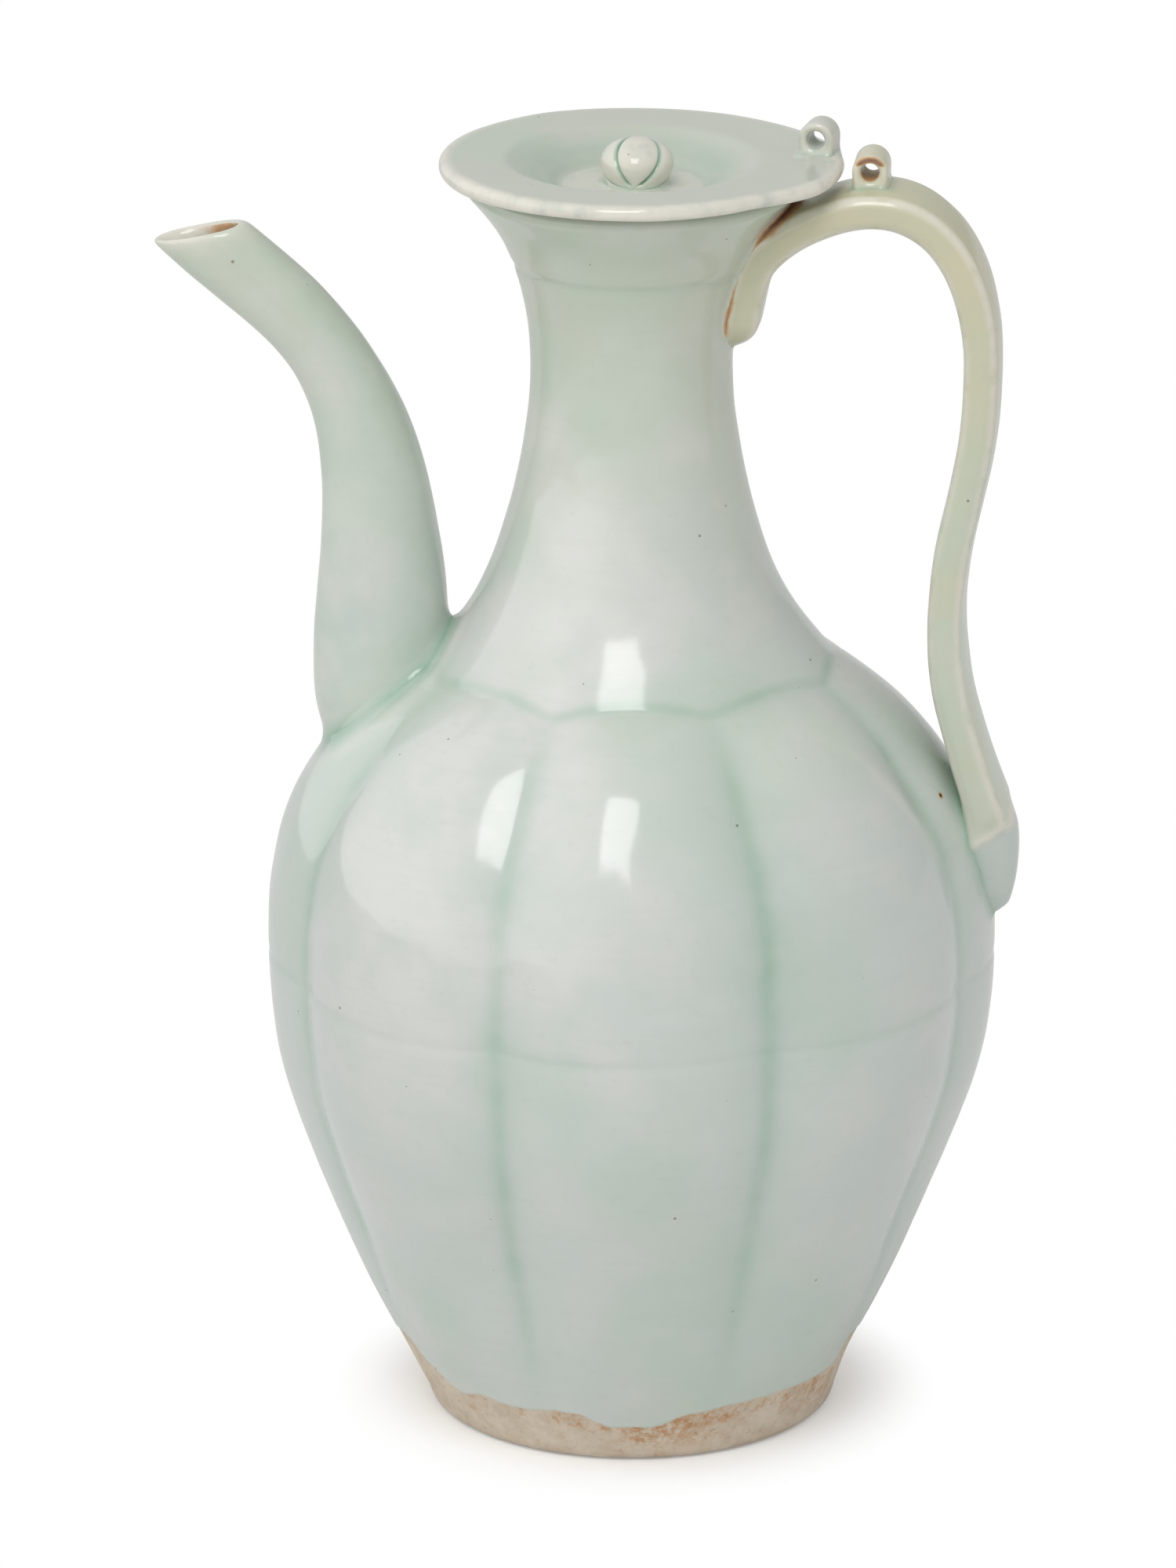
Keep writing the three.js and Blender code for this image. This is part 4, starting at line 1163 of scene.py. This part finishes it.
# The knob has the creamy colour of thin glaze all over: a glossier glaze, and painted light against
# the shade of the well
knob_layers = layers_of(knob.shape, pool_and_shade=knob_pool, thin=0.75)
piece("lid_knob_glazed", knob, "lid", "lid_knob", lid_glaze, knob_layers)
piece("lid_loop_glazed", lid_loop, "lid", "lid_loop", lid_glaze,
      loop_layers(lid_loop, lid_loop_gap, loop_place, 0.45), wrap=True)


# Camera
def facing_ewer(name, data, azimuth, elevation, distance):
    """A camera or lamp this many metres out, turned towards the ewer."""
    way = Vector((
        math.sin(azimuth) * math.cos(elevation),
        -math.cos(azimuth) * math.cos(elevation),
        math.sin(elevation),
    ))
    made = placed(name, data)
    made.location = Vector((0, 0, AIM_HEIGHT * MM)) + way * distance
    made.rotation_mode = "QUATERNION"
    made.rotation_quaternion = way.to_track_quat("Z", "Y")
    return made


scene = bpy.context.scene
optics = bpy.data.cameras.new("camera")
optics.lens, optics.sensor_width = LENS, 36.0
optics.shift_x, optics.shift_y = SHIFT_X, SHIFT_Y
optics.clip_start, optics.clip_end = 0.01, 100.0
distance = CAMERA_DISTANCE * MM
scene.camera = facing_ewer("camera", optics, CAMERA_AZIMUTH, CAMERA_ELEVATION, distance)


# Studio
def softbox(name, distance, width, height, brightness, **seen):
    """A square-cornered soft light that faces the ewer. Brightness is what it shows as."""
    light = bpy.data.lights.new(name, "AREA")
    light.shape, light.size, light.size_y = "RECTANGLE", width, height
    light.energy = brightness * math.pi * width * height
    lamp = facing_ewer(name, light, LAMP_AZIMUTH, LAMP_ELEVATION, distance)
    lamp.visible_camera = False
    for rays, shown in seen.items():
        setattr(lamp, rays, shown)


softbox("front_softbox", *LIGHTING_LAMP, visible_glossy=False)
softbox("front_window", *SHOWN_LAMP, visible_diffuse=False)

world = bpy.data.worlds.new("studio")
world.use_nodes = True
scene.world = world
n = Nodes(world.node_tree)
rays = n.add("LightPath")
seen = n.maths("MAXIMUM", rays.outputs["Is Camera Ray"], rays.outputs["Is Transmission Ray"])
# The room is brighter on the left and dim on the right, where it shows in the glaze
way = n.add("TexCoord").outputs["Generated"]
towards = n.add("VectorMath", {0: way, 1: LEFT_OF_ROOM}, operation="DOT_PRODUCT").outputs["Value"]
left = n.ramp(towards, 0.1, 1.0)
away = n.add("VectorMath", {0: way, 1: DIM_SIDE}, operation="DOT_PRODUCT").outputs["Value"]
shown = n.blend(n.ramp(away, 0.1, 0.9), ROOM_SHOWN, DIM_SHOWN)
shown = n.blend(left, shown, LEFT_SHOWN)
lit = n.blend(left, ROOM_LIGHT, LEFT_LIGHT)
strength = n.blend(seen, n.blend(rays.outputs["Is Glossy Ray"], lit, shown), 1.0)
sky = n.add("Background", {"Color": (1, 1, 1, 1), "Strength": strength})
n.add("OutputWorld", {"Surface": sky.outputs[0]})

floor_mesh = bpy.data.meshes.new("floor")
corners = [(x * FLOOR_REACH, y * FLOOR_REACH, 0) for x, y in ((-1, -1), (1, -1), (1, 1), (-1, 1))]
floor_mesh.from_pydata(corners, [], [(0, 1, 2, 3)])
floor_object = placed("floor", floor_mesh)
floor_object.location.z = -FLOOR_DROP
floor_paint = bpy.data.materials.new("floor_paint")
floor_paint.use_nodes = True
floor_mesh.materials.append(floor_paint)
n = Nodes(floor_paint.node_tree)
rays = n.add("LightPath")
place = n.add("TexCoord").outputs["Object"]
away = n.add("VectorMath", {0: place}, operation="LENGTH").outputs["Value"]
white = n.maths("MULTIPLY", n.ramp(away, *FLOOR_FADE), rays.outputs["Is Camera Ray"])
matt = n.add("BsdfDiffuse", {"Color": (0.9, 0.9, 0.9, 1)})
strength = n.maths("MULTIPLY", rays.outputs["Is Camera Ray"], FLOOR_LIFT)
lift = n.add("Emission", {"Color": (1, 1, 1, 1), "Strength": strength})
lit = n.add("AddShader", {0: matt.outputs[0], 1: lift.outputs[0]})
plain = n.add("Emission", {"Color": (1, 1, 1, 1), "Strength": 1.0})
mixed = n.add("MixShader", {0: white, 1: lit.outputs[0], 2: plain.outputs[0]})
n.add("OutputMaterial", {"Surface": mixed.outputs[0]})

scene.view_settings.view_transform = "Standard"
